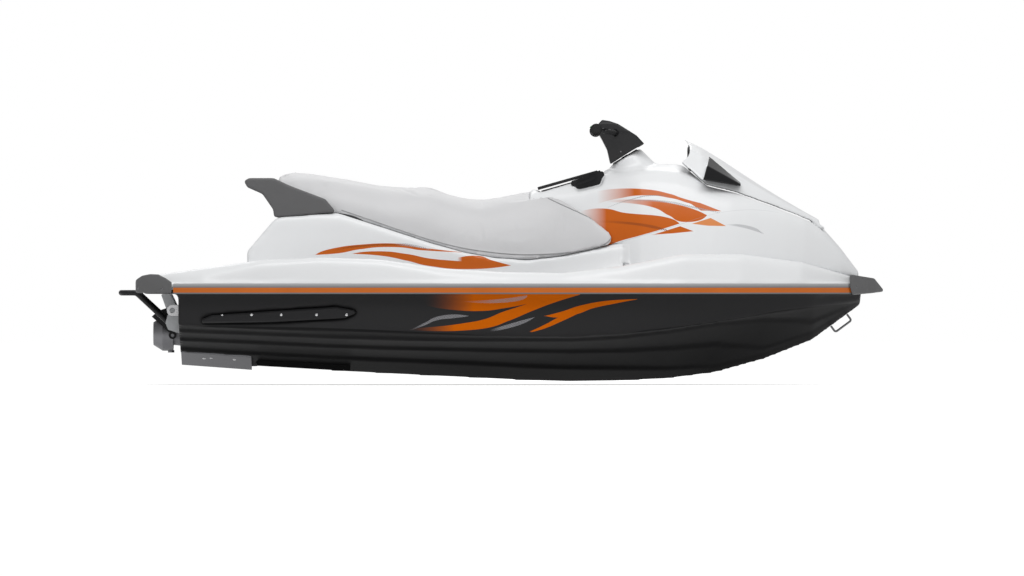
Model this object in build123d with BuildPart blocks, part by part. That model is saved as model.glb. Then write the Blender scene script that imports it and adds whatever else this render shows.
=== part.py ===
from build123d import *
import math
import os

# A three-seat sit-down personal watercraft with a jet pump, lying level at rest.
# X runs forward, Y to port and Z up. The origin is on the waterline, in the
# centre plane, a little aft of the middle of the hull.

os.makedirs("parts", exist_ok=True)

# Driving dimensions, in millimetres
LENGTH = 3220.0  # stern corner bumpers to bow bumper
BEAM = 1170.0  # over the hull at its widest, without the rub rail
HEIGHT = 1131.0  # keel to the top of the handlebar cover
DRAFT = 228.4  # waterline to the keel
STERN_REACH = 1521.4  # origin to the stern corner bumpers

# Small values that many pieces share
OVERRUN = 40.0  # how far a cutting body runs past what it cuts
SEAT_GAP = 0.3  # left between pieces that sit on one another
MOVE_GAP = 6.0  # left round anything that moves
PIN_FIT = 0.05  # radial play of a pin in its bore

# Flange where hull and deck join, and the rub rail round it
FLANGE_HULL_HEIGHT = 17.0
FLANGE_DECK_HEIGHT = 28.0
RAIL_WIDTH = 18.0
STRIPE_HEIGHT = 21.0
STRIPE_INSET = 5.0
RAIL_START_SHARE = 0.0525
RAIL_END_SHARE = 0.9552


def station(share):
    """Place along the length, from a share of it counted from the stern."""
    return LENGTH * share - STERN_REACH


def abreast(share):
    """Place across the boat, from a share of half its beam."""
    return BEAM / 2 * share


def level(share):
    """Height over the water, from a share of the height counted from the keel."""
    return HEIGHT * share - DRAFT


def side_point(along_share, height_share):
    """A point of a side view, from its two shares."""
    return (station(along_share), level(height_share))


def both_sides(half):
    """A closed outline from its port half, which runs from bottom to top."""
    other = [(-across, height) for across, height in reversed(half) if across]
    return half + other


def side_plane(offset=0):
    """The plane of a side view: its x runs forward, its y up, its normal to starboard."""
    return Plane.XZ.offset(offset)


JOIN_Z_SHARE = 0.3505  # where hull and deck meet
JOIN_Z = level(JOIN_Z_SHARE)

# Smaller shares of length, half beam and height
FAR_SHARES = (-0.5, 1.5)
STRAKE_RUN = 4
STRAKE_GROWTH = 1.02
RIDE_KEEL_SHARES = (0.0780, 0.0585)
RIDE_STEP_SHARE = 0.1
DUCT_CUT_SHARE = -0.05
PUMP_BAY_SHARE = 0.03
WELL_RAMP_SHARE = 0.40
HANDLE_FLOOR_SHARE = 0.5
SEAT_ROOM_SHARE = 0.8
STRIPE_RISE = 6.0
MAT_START_SHARE = 0.262
MAT_END_SHARE = 0.630
MAT_INNER_SHARE = 0.545
MAT_OUTER_SHARE = 0.722
BOARDING_START_SHARE = 0.018
BOARDING_END_SHARE = 0.125
BOARDING_HALF_SHARE = 0.57
BOARDING_LOW_SHARE = 0.385
BOARDING_TOP_SHARE = 0.4025
GRATE_FRONT_SHARE = 0.2860
GRATE_Z_SHARES = (0.062, 0.042)
SHIFT_PIVOT_SHARES = (0.6100, 0.7780)
SHIFT_LEVER_SHARES = (
    (0.6130, 0.7830),
    (0.5890, 0.7560),
    (0.5890, 0.7480),
    (0.6130, 0.7730),
)

# Half breadth of the join seen from above: share of length, share of half beam
PLAN_SHARES = (
    (0.010, 0.800),
    (0.058, 0.905),
    (0.170, 0.945),
    (0.420, 0.975),
    (0.600, 0.975),
    (0.720, 0.905),
    (0.800, 0.780),
    (0.861, 0.640),
    (0.912, 0.480),
    (0.950, 0.300),
    (0.969, 0.120),
)
PLAN_ROUNDING = 150.0
BOW_ROUNDING = 30.0


def plan_outline(grow=0):
    """The closed outline of hull and deck at their join, seen from above."""
    half = [(station(a) , abreast(b) + grow) for a, b in PLAN_SHARES]
    stern = (half[0][0] - grow, half[0][1])
    bow = (half[-1][0] + grow, half[-1][1])
    half = [stern] + half[1:-1] + [bow]
    other = [(x, -y) for x, y in reversed(half)]
    bends = [BOW_ROUNDING] + [PLAN_ROUNDING] * (len(half) - 2) + [BOW_ROUNDING]
    FilletPolyline(*(half + other), radius=bends + bends[::-1], close=True)


# Hull bottom, one row for each station, as shares of length, half beam and height:
# station, top breadth, upper chine across and up, lower chine across and up,
# outer strake across and up, inner strake across and up, keel height
HULL_SECTION_SHARES = (
    (0.059, 0.885, 0.850, 0.217, 0.720, 0.191, 0.530, 0.158, 0.280, 0.122, 0.072),
    (0.165, 0.925, 0.890, 0.202, 0.760, 0.179, 0.540, 0.145, 0.275, 0.103, 0.057),
    (0.298, 0.945, 0.915, 0.193, 0.800, 0.164, 0.545, 0.128, 0.270, 0.084, 0.037),
    (0.446, 0.955, 0.920, 0.179, 0.810, 0.156, 0.550, 0.118, 0.265, 0.067, 0.016),
    (0.580, 0.955, 0.905, 0.172, 0.800, 0.156, 0.540, 0.112, 0.260, 0.050, 0.001),
    (0.687, 0.910, 0.840, 0.194, 0.740, 0.179, 0.475, 0.118, 0.200, 0.048, 0.008),
    (0.767, 0.820, 0.735, 0.225, 0.620, 0.215, 0.335, 0.139, 0.070, 0.055, 0.032),
    (0.834, 0.685, 0.600, 0.255, 0.460, 0.234, 0.130, 0.125, 0.050, 0.098, 0.082),
    (0.888, 0.540, 0.460, 0.278, 0.275, 0.223, 0.090, 0.170, 0.040, 0.152, 0.140),
    (0.930, 0.370, 0.300, 0.297, 0.120, 0.232, 0.070, 0.217, 0.035, 0.207, 0.198),
    (0.956, 0.225, 0.170, 0.307, 0.070, 0.276, 0.045, 0.269, 0.022, 0.263, 0.258),
    (0.968, 0.118, 0.090, 0.312, 0.045, 0.303, 0.030, 0.300, 0.015, 0.297, 0.294),
)
STRAKE_STEP_SHARE = 0.012  # height of a strake's step, as a share of the height
CHINE_STEP_SHARE = 0.014  # how far the upper chine stands out, as a share of half beam


def hull_half(row):
    """The port half of one hull section, from the keel up to the flange."""
    _, top_y, u_y, u_z, c_y, c_z, b_y, b_z, a_y, a_z, keel_z = row
    keel = (0, level(keel_z))
    steps = []
    for across, height in ((a_y, a_z), (b_y, b_z), (c_y, c_z)):
        rise = STRAKE_STEP_SHARE * min(1, across / a_y, STRAKE_RUN * across)
        steps.append((abreast(across), level(height)))
        steps.append((abreast(across * STRAKE_GROWTH), level(height + rise)))
    chine = [(abreast(u_y), level(u_z)), (abreast(u_y + CHINE_STEP_SHARE), level(u_z))]
    top = [(abreast(top_y), JOIN_Z - FLANGE_HULL_HEIGHT)]
    return [keel] + steps + chine + top


# Deck, as shares: station, foot of the gunwale across, top across and up on its
# outer side, crest across and up, inner edge across and height of the platform
DECK_SECTION_SHARES = (
    (0.010, 0.760, 0.720, 0.395, 0.660, 0.406, 0.600, 0.393),
    (0.059, 0.885, 0.850, 0.398, 0.770, 0.427, 0.690, 0.398),
    (0.142, 0.920, 0.890, 0.443, 0.800, 0.463, 0.720, 0.400),
    (0.218, 0.940, 0.905, 0.471, 0.815, 0.480, 0.735, 0.400),
    (0.312, 0.950, 0.915, 0.465, 0.825, 0.474, 0.745, 0.404),
    (0.439, 0.960, 0.920, 0.419, 0.830, 0.429, 0.750, 0.404),
    (0.566, 0.955, 0.915, 0.410, 0.825, 0.419, 0.745, 0.404),
    (0.673, 0.925, 0.870, 0.448, 0.785, 0.457, 0.700, 0.434),
    (0.746, 0.860, 0.790, 0.486, 0.700, 0.495, 0.610, 0.469),
    (0.827, 0.715, 0.640, 0.476, 0.555, 0.488, 0.470, 0.467),
    (0.909, 0.475, 0.410, 0.434, 0.340, 0.448, 0.280, 0.434),
    (0.950, 0.260, 0.210, 0.408, 0.165, 0.417, 0.120, 0.408),
    (0.967, 0.120, 0.095, 0.392, 0.075, 0.396, 0.055, 0.392),
)


DECK_EASE = 24.0
DECK_STEPS = 2


def deck_half(row):
    """The port half of one deck section, from the flange to the platform."""
    _, foot_y, out_y, out_z, crest_y, crest_z, in_y, platform_z = row
    line = [
        (abreast(foot_y), JOIN_Z + FLANGE_DECK_HEIGHT),
        (abreast(out_y), level(out_z)),
        (abreast(crest_y), level(crest_z)),
        (abreast(in_y), level(platform_z)),
    ]
    return softened(line, DECK_EASE, DECK_STEPS)


# Pedestal that carries the seat, as shares: station, top height, shoulder across
# and up, waist across and up, foot across and up
PEDESTAL_SECTION_SHARES = (
    (0.149, 0.720, 0.370, 0.660, 0.425, 0.556, 0.500, 0.420),
    (0.218, 0.720, 0.385, 0.660, 0.425, 0.556, 0.490, 0.420),
    (0.268, 0.720, 0.385, 0.655, 0.415, 0.556, 0.470, 0.415),
    (0.335, 0.660, 0.380, 0.600, 0.410, 0.511, 0.450, 0.408),
    (0.392, 0.600, 0.385, 0.545, 0.405, 0.473, 0.440, 0.402),
    (0.459, 0.560, 0.395, 0.500, 0.410, 0.442, 0.435, 0.398),
    (0.523, 0.550, 0.400, 0.485, 0.415, 0.434, 0.440, 0.394),
    (0.586, 0.560, 0.410, 0.505, 0.430, 0.450, 0.470, 0.400),
    (0.650, 0.580, 0.440, 0.535, 0.470, 0.480, 0.530, 0.415),
)
PEDESTAL_FOOT_SHARE = 0.270  # height where the pedestal ends, under the footwell floor
COWL_FOOT_SHARE = 0.360  # height where the cowl ends, inside the deck

# Side view of what the seat rests on: share of length, share of height
SEAT_LINE_SHARES = (
    (0.139, 0.464),
    (0.187, 0.626),
    (0.268, 0.644),
    (0.335, 0.583),
    (0.393, 0.529),
    (0.440, 0.492),
    (0.480, 0.472),
    (0.523, 0.465),
    (0.568, 0.480),
    (0.612, 0.508),
    (0.660, 0.540),
)
SEAT_LINE_ROUNDING = 60.0

# Footwells on both sides of the pedestal
WELL_START_SHARE = 0.250
WELL_END_SHARE = 0.645
WELL_FLOOR_SHARE = 0.286
WELL_OUTER_SHARE = 0.735
WELL_INNER_SHARE = 0.300
WELL_ROUNDING = 45.0
WELL_RAMP = 130.0

# Front cowl with its console, as shares: station, top height, shoulder across
# and up, waist across and up, foot across and up
COWL_SECTION_SHARES = (
    (0.526, 0.732, 0.190, 0.712, 0.270, 0.556, 0.310, 0.396),
    (0.577, 0.771, 0.215, 0.752, 0.310, 0.587, 0.360, 0.408),
    (0.633, 0.812, 0.270, 0.790, 0.375, 0.617, 0.425, 0.419),
    (0.687, 0.835, 0.350, 0.804, 0.495, 0.636, 0.595, 0.434),
    (0.730, 0.835, 0.385, 0.789, 0.530, 0.636, 0.620, 0.457),
    (0.762, 0.770, 0.390, 0.747, 0.520, 0.625, 0.600, 0.465),
    (0.800, 0.740, 0.375, 0.720, 0.480, 0.610, 0.540, 0.465),
    (0.847, 0.695, 0.315, 0.674, 0.400, 0.572, 0.440, 0.455),
    (0.888, 0.645, 0.245, 0.629, 0.310, 0.530, 0.340, 0.436),
    (0.917, 0.591, 0.160, 0.583, 0.220, 0.495, 0.240, 0.418),
    (0.948, 0.488, 0.090, 0.480, 0.130, 0.442, 0.150, 0.400),
    (0.966, 0.420, 0.040, 0.416, 0.060, 0.405, 0.080, 0.390),
)

# Side view of the seam under the hood: share of length, share of height
HOOD_LINE_SHARES = (
    (0.7290, 0.835),
    (0.7617, 0.751),
    (0.8005, 0.724),
    (0.8474, 0.676),
    (0.8880, 0.631),
    (0.9165, 0.598),
)

# Hood, as shares: station, top height, shoulder across and up, half breadth
HOOD_SECTION_SHARES = (
    (0.7290, 0.930, 0.170, 0.902, 0.372),
    (0.7617, 0.884, 0.215, 0.854, 0.385),
    (0.8005, 0.812, 0.215, 0.791, 0.370),
    (0.8474, 0.726, 0.180, 0.714, 0.310),
    (0.8880, 0.658, 0.130, 0.652, 0.240),
    (0.9130, 0.618, 0.090, 0.615, 0.170),
)
HOOD_WALL = 7.0
HOOD_HINGE_SHARES = (0.9170, 0.586)
HOOD_ROOM = 5.5

# Seat, as shares: station, top height, shoulder across and up, half breadth
SEAT_SECTION_SHARES = (
    (0.1890, 0.790, 0.220, 0.755, 0.300),
    (0.2050, 0.797, 0.260, 0.762, 0.330),
    (0.2680, 0.775, 0.290, 0.738, 0.370),
    (0.3090, 0.753, 0.290, 0.720, 0.385),
    (0.3350, 0.741, 0.285, 0.705, 0.395),
    (0.3900, 0.746, 0.270, 0.700, 0.405),
    (0.4190, 0.716, 0.265, 0.672, 0.410),
    (0.4570, 0.698, 0.265, 0.650, 0.415),
    (0.4990, 0.718, 0.265, 0.668, 0.428),
    (0.5340, 0.737, 0.280, 0.690, 0.440),
    (0.5800, 0.745, 0.325, 0.697, 0.460),
    (0.6420, 0.745, 0.370, 0.685, 0.495),
)
# Front edge of the seat in side view, from its top to the tip of its side flaps
SEAT_FRONT_SHARES = (
    (0.5340, 0.737),
    (0.5700, 0.690),
    (0.6080, 0.622),
    (0.6340, 0.565),
    (0.6370, 0.535),
    (0.6200, 0.500),
)
SEAT_FRONT_ROUNDING = 30.0

# Grab handle behind the seat, its side view as shares of length and height
HANDLE_SIDE_SHARES = (
    (0.1440, 0.764),
    (0.1510, 0.776),
    (0.1840, 0.776),
    (0.2050, 0.748),
    (0.2530, 0.696),
    (0.2677, 0.6455),
    (0.2030, 0.6300),
    (0.1845, 0.6260),
    (0.1833, 0.656),
    (0.1690, 0.715),
    (0.1490, 0.740),
)
HANDLE_ROUNDING = 8.0
HANDLE_HALF_WIDTH = 224.0
HANDLE_ARM = 40.0
HANDLE_BAR_DEPTH = 62.0

# Engine in its closed bay
ENGINE_LENGTH = 560.0
ENGINE_WIDTH = 300.0
ENGINE_HEIGHT = 320.0
ENGINE_X_SHARE = 0.4197
ENGINE_X = station(ENGINE_X_SHARE)
ENGINE_Z_SHARE = 0.1320
ENGINE_Z = level(ENGINE_Z_SHARE)
BAY_ROOM = 18.0

# Where the deck moulding reaches down into the hull
PLUG_START_SHARE = 0.145
PLUG_END_SHARE = 0.690
PLUG_FLOOR_SHARE = 0.262
PLUG_SIDE_SHARE = 0.790

# Jet pump and its tunnel
JET_Z_SHARE = 0.1843
JET_Z = level(JET_Z_SHARE)
PUMP_BORE = 79.5
PUMP_WALL = 9.0
PUMP_FLANGE = 10.0
PUMP_FRONT_X_SHARE = 0.1340
PUMP_FRONT_X = station(PUMP_FRONT_X_SHARE)
PUMP_REAR_X_SHARE = 0.0690
PUMP_REAR_X = station(PUMP_REAR_X_SHARE)
TUNNEL_ROOM = 8.0
DUCT_ROOF_X_SHARE = 0.1650
DUCT_ROOF_X = station(DUCT_ROOF_X_SHARE)
DUCT_FRONT_X_SHARE = 0.3000
DUCT_FRONT_X = station(DUCT_FRONT_X_SHARE)
DUCT_LIP_X_SHARE = 0.1620
DUCT_LIP_X = station(DUCT_LIP_X_SHARE)
STATOR_HUB = 32.0
STATOR_VANES = 6
VANE_THICKNESS = 5.0
STATOR_LENGTH = 78.0
IMPELLER_TIP_ROOM = 5.2
IMPELLER_HUB = 30.0
IMPELLER_BLADES = 3
IMPELLER_LENGTH = 60.0
IMPELLER_ROOM = 8.0
SHAFT_RADIUS = 12.5
SHAFT_LENGTH = 290.0

# Discharge nozzle, steering nozzle and reverse gate
NOZZLE_NECK_X_SHARE = 0.0585
NOZZLE_NECK_X = station(NOZZLE_NECK_X_SHARE)
NOZZLE_TIP_X_SHARE = 0.0415
NOZZLE_TIP_X = station(NOZZLE_TIP_X_SHARE)
NOZZLE_NECK_RADIUS = 52.0
NOZZLE_TIP_RADIUS = 47.0
NOZZLE_WALL = 6.0
STEER_PIVOT_X_SHARE = 0.0457
STEER_PIVOT_X = station(STEER_PIVOT_X_SHARE)
STEER_FRONT = 10.0
STEER_BELLY = 36.0
STEER_LENGTH = 76.0
STEER_INNER_RADIUS = 68.0
STEER_TIP_RADIUS = 43.0
STEER_WALL = 6.0
PIVOT_PIN_RADIUS = 6.0
PIVOT_PIN_REACH = 82.0
GATE_PIVOT_SHARES = (0.0483, 0.1781)
GATE_RADIUS = 113.0
GATE_WALL = 7.0
GATE_HALF_WIDTH = 106.0
GATE_EAR_INNER = 84.0
GATE_EAR_OUTER = 93.0
GATE_EAR_RADIUS = 15.0
GATE_START_ANGLE = 42.0
GATE_END_ANGLE = 92.0
GATE_ARM_THICKNESS = 7.0
GATE_PIN_RADIUS = 7.0

# Boarding step folded up behind the transom
STEP_PIVOT_SHARES = (0.0470, 0.2170)
STEP_RADIUS = 12.0
STEP_HALF_WIDTH = 160.0
STEP_BEND_X_SHARE = 0.0005
STEP_BEND_X = station(STEP_BEND_X_SHARE)
STEP_BEND_Z_SHARE = 0.3400
STEP_BEND_Z = level(STEP_BEND_Z_SHARE)
STEP_END_X_SHARE = -0.0198
STEP_END_X = station(STEP_END_X_SHARE)
STEP_BEND = 28.0
STEP_PIN_RADIUS = 7.0
BRACKET_THICKNESS = 12.0

# Ride plate
RIDE_HALF_WIDTH = 138.0
RIDE_THICKNESS = 14.0
RIDE_FRONT_SHARE = 0.1537
RIDE_REAR_SHARE = 0.0600
RIDE_DEADRISE = 21.0

# Intake grate
GRATE_BARS = 3
GRATE_BAR_WIDTH = 9.0
GRATE_FRAME = 12.0
GRATE_THICKNESS = 16.0

# Sponsons let into the hull sides: side view as shares of length and height
SPONSON_SIDE_SHARES = (
    (0.0884, 0.2195),
    (0.0884, 0.2440),
    (0.1030, 0.2600),
    (0.1820, 0.2760),
    (0.2680, 0.2920),
    (0.2930, 0.2790),
    (0.2990, 0.2620),
    (0.2800, 0.2390),
    (0.1820, 0.2240),
)
SPONSON_ROUNDING_SHARE = 0.01238
SPONSON_ROUNDING = level(SPONSON_ROUNDING_SHARE) - level(0)
SPONSON_FLOOR = 17.0
SPONSON_STANDOUT = 22.0
SPONSON_EDGE_SHARE = 0.0053
SPONSON_EDGE = level(SPONSON_EDGE_SHARE) - level(0)
SPONSON_CHAMFER_SHARE = 0.00619
SPONSON_CHAMFER = level(SPONSON_CHAMFER_SHARE) - level(0)

# Steering head: the axis leans aft
STEER_HEAD_SHARES = (0.6532, 0.8571)
STEER_LEAN = 31.0
HEAD_TOP_RADIUS = 75.0
HEAD_FOOT_RADIUS = 112.0
HEAD_DEPTH = 150.0
COLUMN_RADIUS = 14.0
COLUMN_DEPTH = 110.0

# Handlebar cover, side view as shares of length and height
COVER_SIDE_SHARES = (
    (0.6222, 0.9985),
    (0.6320, 0.9945),
    (0.6438, 0.9830),
    (0.6684, 0.9390),
    (0.6896, 0.8746),
    (0.6814, 0.8857),
    (0.6707, 0.8956),
    (0.6545, 0.8680),
    (0.6335, 0.8290),
    (0.6292, 0.8834),
    (0.6222, 0.9230),
    (0.6170, 0.9480),
    (0.6160, 0.9790),
)
COVER_FACE_SHARES = (
    (0.110, 0.8000),
    (0.150, 0.9000),
    (0.165, 0.9500),
    (0.150, 0.9850),
    (0.120, 1.0050),
)
COVER_HALF_WIDTH = 96.0
COVER_ROUNDING = 2.5
BAR_SHARES = (0.6142, 0.9590)
BAR_RADIUS = 11.0
BAR_HALF_LENGTH = 385.0
GRIP_RADIUS = 18.5
GRIP_LENGTH = 125.0
LEVER_LENGTH = 95.0
LEVER_THICKNESS = 9.0
LEVER_REACH = 34.0
SWITCH_LENGTH = 48.0
SWITCH_RADIUS = 26.0

# Glove box in the console
GLOVE_HINGE_SHARES = (0.6215, 0.8110)
GLOVE_REAR_SHARES = (0.5360, 0.7420)
GLOVE_HALF_WIDTH = 88.0
GLOVE_LID_THICKNESS = 12.0
GLOVE_DEPTH = 120.0
GLOVE_WALL = 4.0
GLOVE_RIM = 12.0

# Storage bin under the hood
BIN_START_SHARE = 0.7750
BIN_END_SHARE = 0.8600
BIN_FLOOR_SHARE = 0.4400
BIN_HALF_WIDTH = 120.0
BIN_WALL = 5.0

# Mirrors on the sides of the hood: rear face and tip as shares
MIRROR_REAR_SHARE = 0.7570
MIRROR_TIP_SHARE = 0.8075
MIRROR_FOOT_SHARE = 0.7740
MIRROR_LEAN = 15.0
MIRROR_FACE_SHARES = (
    (0.290, 0.7680),
    (0.480, 0.7680),
    (0.445, 0.8250),
    (0.210, 0.8640),
)
MIRROR_TIP_FACE_SHARES = (
    (0.230, 0.7445),
    (0.330, 0.7445),
    (0.325, 0.7520),
    (0.230, 0.7600),
)
MIRROR_GLASS = 3.0
MIRROR_RIM = 7.0

# Instrument panel at the rear of the hood

# Bow and stern fittings
BOW_BUMPER_SHARES = (
    (0.9530, 0.4100),
    (0.9862, 0.3952),
    (0.9985, 0.3529),
    (0.9985, 0.3441),
    (0.9815, 0.3380),
    (0.9560, 0.3319),
    (0.9530, 0.3600),
)
PROW_SHARES = (
    (0.9400, 0.330),
    (0.9650, 0.235),
    (0.9880, 0.130),
    (0.9985, 0.055),
)
BOW_BUMPER_WALL = 13.0
BOW_BUMPER_ROUNDING = 6.0
CORNER_HEIGHT = 90.0
CORNER_SIDE_SHARES = (
    (-0.0003, 0.3697),
    (0.0030, 0.3900),
    (0.0110, 0.4050),
    (0.0214, 0.4108),
    (0.0320, 0.4100),
    (0.0420, 0.3960),
    (0.0503, 0.3800),
    (0.0503, 0.3395),
    (0.0030, 0.3395),
)
CORNER_ROUNDING = 4.0
CORNER_DEPTH = 26.0
CORNER_REACH_SHARE = 0.0540
CORNER_INNER_SHARE = 0.7000
BOW_EYE_SHARES = ((0.9317, 0.2020), (0.9531, 0.2470))
BOW_EYE_STANDOFF = 17.0
BOW_EYE_RADIUS = 4.5
EYE_Y = 330.0
EYE_Z_SHARE = 0.2730
EYE_HOLE = 12.0
EYE_THICKNESS = 10.0
EYE_HEIGHT = 46.0
EYE_REACH = 30.0
CAP_RADIUS = 46.0
CAP_SHARES = (0.7750, 0.6400)
CAP_BASE_SHARE = 0.4600
CAP_TOP_SHARE = 0.5050
MAT_THICKNESS = 6.0
MAT_MARGIN = 12.0
SHIFT_RADIUS = 13.0
RECESS_SIDE_SHARES = (
    (0.5775, 0.7620),
    (0.6265, 0.8080),
    (0.6225, 0.7470),
    (0.5890, 0.7240),
)


def side_slab(shares, rounding, raise_by, upward):
    """Everything above or below a side-view line, right across the boat."""
    points = [side_point(a, b) for a, b in shares]
    points = [(x, z + raise_by) for x, z in points]
    far = level(FAR_SHARES[1]) if upward else level(FAR_SHARES[0])
    start = (points[0][0] - BEAM, points[0][1])
    stop = (points[-1][0] + BEAM, points[-1][1])
    path = [start] + points + [stop]
    with BuildPart() as slab:
        with BuildSketch(side_plane()):
            with BuildLine():
                rounded = FilletPolyline(*path, radius=rounding)
                Polyline(rounded @ 1, (stop[0], far), (start[0], far), rounded @ 0)
            make_face()
        extrude(amount=BEAM, both=True)
    return slab.part


def side_solid(shares, rounding, start, stop, grow=0):
    """A closed, rounded side-view outline extruded between two places across."""
    points = [side_point(a, b) for a, b in shares]
    with BuildPart() as body:
        with BuildSketch(side_plane(-stop)):
            with BuildLine():
                FilletPolyline(*points, radius=rounding, close=True)
            make_face()
            if grow:
                offset(amount=grow, mode=Mode.REPLACE)
        extrude(amount=stop - start)
    return body.part


def slopes(places, values):
    """Slopes through a column of a table that never overshoot its values."""
    steps = [places[i + 1] - places[i] for i in range(len(places) - 1)]
    rises = [(values[i + 1] - values[i]) / steps[i] for i in range(len(steps))]
    result = [rises[0]]
    for i in range(1, len(steps)):
        if rises[i - 1] * rises[i] <= 0:
            result.append(0)
            continue
        before = 2 * steps[i] + steps[i - 1]
        after = steps[i] + 2 * steps[i - 1]
        result.append((before + after) / (before / rises[i - 1] + after / rises[i]))
    return result + [rises[-1]]


def eased(places, values, place):
    """A value between the rows of a column, on a curve through them."""
    tangents = slopes(places, values)
    i = max(k for k in range(len(places) - 1) if places[k] <= place or k == 0)
    width = places[i + 1] - places[i]
    t = (place - places[i]) / width
    start = values[i] * (1 + 2 * t) * (1 - t) ** 2 + width * tangents[i] * t * (1 - t) ** 2
    stop = values[i + 1] * t * t * (3 - 2 * t) + width * tangents[i + 1] * t * t * (t - 1)
    return start + stop


def even_rows(rows, count):
    """The table's rows again, at evenly spaced stations, which keeps a loft from rippling."""
    places = [row[0] for row in rows]
    result = []
    for number in range(count):
        place = places[0] + (places[-1] - places[0]) * number / (count - 1)
        columns = [[row[c] for row in rows] for c in range(1, len(rows[0]))]
        result.append([place] + [eased(places, column, place) for column in columns])
    return result


CORNER_LIMIT = 0.45  # most of an outline's side that the easing of a corner takes


def softened(points, reach, steps):
    """A line of points with each inner corner turned into a short curve."""
    result = [points[0]]
    for before, corner, after in zip(points, points[1:], points[2:]):
        ends = []
        for other in (before, after):
            run = math.hypot(other[0] - corner[0], other[1] - corner[1])
            share = min(CORNER_LIMIT, reach / run)
            ends.append([c + (o - c) * share for c, o in zip(corner, other)])
        for number in range(steps + 1):
            t = number / steps
            result.append(tuple(
                a * (1 - t) ** 2 + 2 * c * t * (1 - t) + b * t * t
                for a, c, b in zip(ends[0], corner, ends[1])
            ))
    return result + [points[-1]]


def section_loft(rows, half_of, count=13):
    """A body lofted through the sections that a table gives."""
    with BuildPart() as body:
        for row in even_rows(rows, count):
            with BuildSketch(Plane.YZ.offset(station(row[0]))):
                with BuildLine():
                    Polyline(*both_sides(half_of(row)), close=True)
                make_face()
        loft(ruled=True)
    return body.part


SHELL_EASE = 85.0
SHELL_STEPS = 4


def shell_half(row, foot_share, grow):
    """The port half of one section of pedestal or cowl, from its hidden foot to the top."""
    _, top_z, r_y, r_z, m_y, m_z, n_y, n_z = row
    line = [
        (abreast(n_y) + grow, level(n_z)),
        (abreast(m_y) + grow, level(m_z)),
        (abreast(r_y) + grow, level(r_z) + grow),
        (0, level(top_z) + grow),
    ]
    return [(line[0][0], level(foot_share))] + softened(line, SHELL_EASE, SHELL_STEPS)


def pedestal_half(row):
    """The pedestal's section."""
    return shell_half(row, PEDESTAL_FOOT_SHARE, 0)


def cowl_half(row):
    """The cowl's section."""
    return shell_half(row, COWL_FOOT_SHARE, 0)


def grown_cowl_half(row):
    """The cowl's section with room for the seat round it."""
    return shell_half(row, COWL_FOOT_SHARE, SEAT_GAP)


def hood_half(row, wall=0):
    """The port half of one hood section, its bottom far below the seam."""
    _, top_z, r_y, r_z, half_y = row
    return [
        (abreast(half_y) - wall, level(r_z) - HOOD_DROP),
        (abreast(r_y) - wall, level(r_z) - wall),
        (0, level(top_z) - wall),
    ]


HOOD_DROP_SHARE = 0.12
HOOD_DROP = HEIGHT * HOOD_DROP_SHARE


def hood_inner_half(row):
    """The inner face of the hood's moulding."""
    return hood_half(row, HOOD_WALL)


SEAT_FOOT_SHARE = 0.42
SEAT_EASE = 70.0
SEAT_STEPS = 4


def seat_half(row):
    """The port half of one seat section, its bottom far below the seat line."""
    _, top_z, r_y, r_z, half_y = row
    line = [
        (abreast(half_y), level(SEAT_FOOT_SHARE)),
        (abreast(r_y), level(r_z)),
        (0, level(top_z)),
    ]
    return softened(line, SEAT_EASE, SEAT_STEPS)


# Ride plate, a shallow vee that follows the keel
def ride_half(along):
    """The port half of the ride plate's section at one station."""
    keel = level(RIDE_KEEL_SHARES[0] if along < station(RIDE_STEP_SHARE) else RIDE_KEEL_SHARES[1])
    rise = RIDE_HALF_WIDTH * math.tan(math.radians(RIDE_DEADRISE))
    return [
        (0, keel - RIDE_THICKNESS),
        (RIDE_HALF_WIDTH, keel + rise - RIDE_THICKNESS),
        (RIDE_HALF_WIDTH, keel + rise),
    ]


with BuildPart() as ride_plate:
    for along_share in (RIDE_REAR_SHARE, RIDE_FRONT_SHARE):
        place = station(along_share)
        keel_z = ride_half(place)[0][1] + RIDE_THICKNESS
        outline = both_sides(ride_half(place)) + [(0, keel_z)]
        ordered = outline[0:3] + [(0, keel_z)] + outline[3:5]
        with BuildSketch(Plane.YZ.offset(place)):
            with BuildLine():
                Polyline(*ordered, close=True)
            make_face()
    loft(ruled=True)
ride_plate.part.label = "ride_plate"

# Intake duct and pump tunnel, as cutting bodies
with BuildPart() as duct_room:
    with BuildSketch(side_plane()):
        with BuildLine():
            Polyline(
                (PUMP_FRONT_X, JET_Z - PUMP_BORE),
                (PUMP_FRONT_X, JET_Z + PUMP_BORE),
                (DUCT_ROOF_X, JET_Z + PUMP_BORE),
                (DUCT_FRONT_X, level(DUCT_CUT_SHARE)),
                (DUCT_LIP_X, level(DUCT_CUT_SHARE)),
                (DUCT_LIP_X, JET_Z - PUMP_BORE),
                close=True,
            )
        make_face()
    extrude(amount=PUMP_BORE, both=True)

TUNNEL_RADIUS = PUMP_BORE + PUMP_WALL + TUNNEL_ROOM
with BuildPart() as tunnel_room:
    with BuildSketch(Plane.YZ.offset(station(PUMP_BAY_SHARE))):
        with Locations((0, JET_Z)):
            Circle(TUNNEL_RADIUS)
        with Locations((0, JET_Z - TUNNEL_RADIUS)):
            Rectangle(2 * TUNNEL_RADIUS, 2 * TUNNEL_RADIUS)
    extrude(amount=PUMP_FRONT_X - station(PUMP_BAY_SHARE))

# Engine, one plain block in a closed bay
with BuildPart() as engine_block:
    with BuildSketch(Plane.XY.offset(ENGINE_Z)):
        with Locations((ENGINE_X, 0)):
            Rectangle(ENGINE_LENGTH, ENGINE_WIDTH)
    extrude(amount=ENGINE_HEIGHT)
engine_block.part.label = "engine_block"

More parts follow.
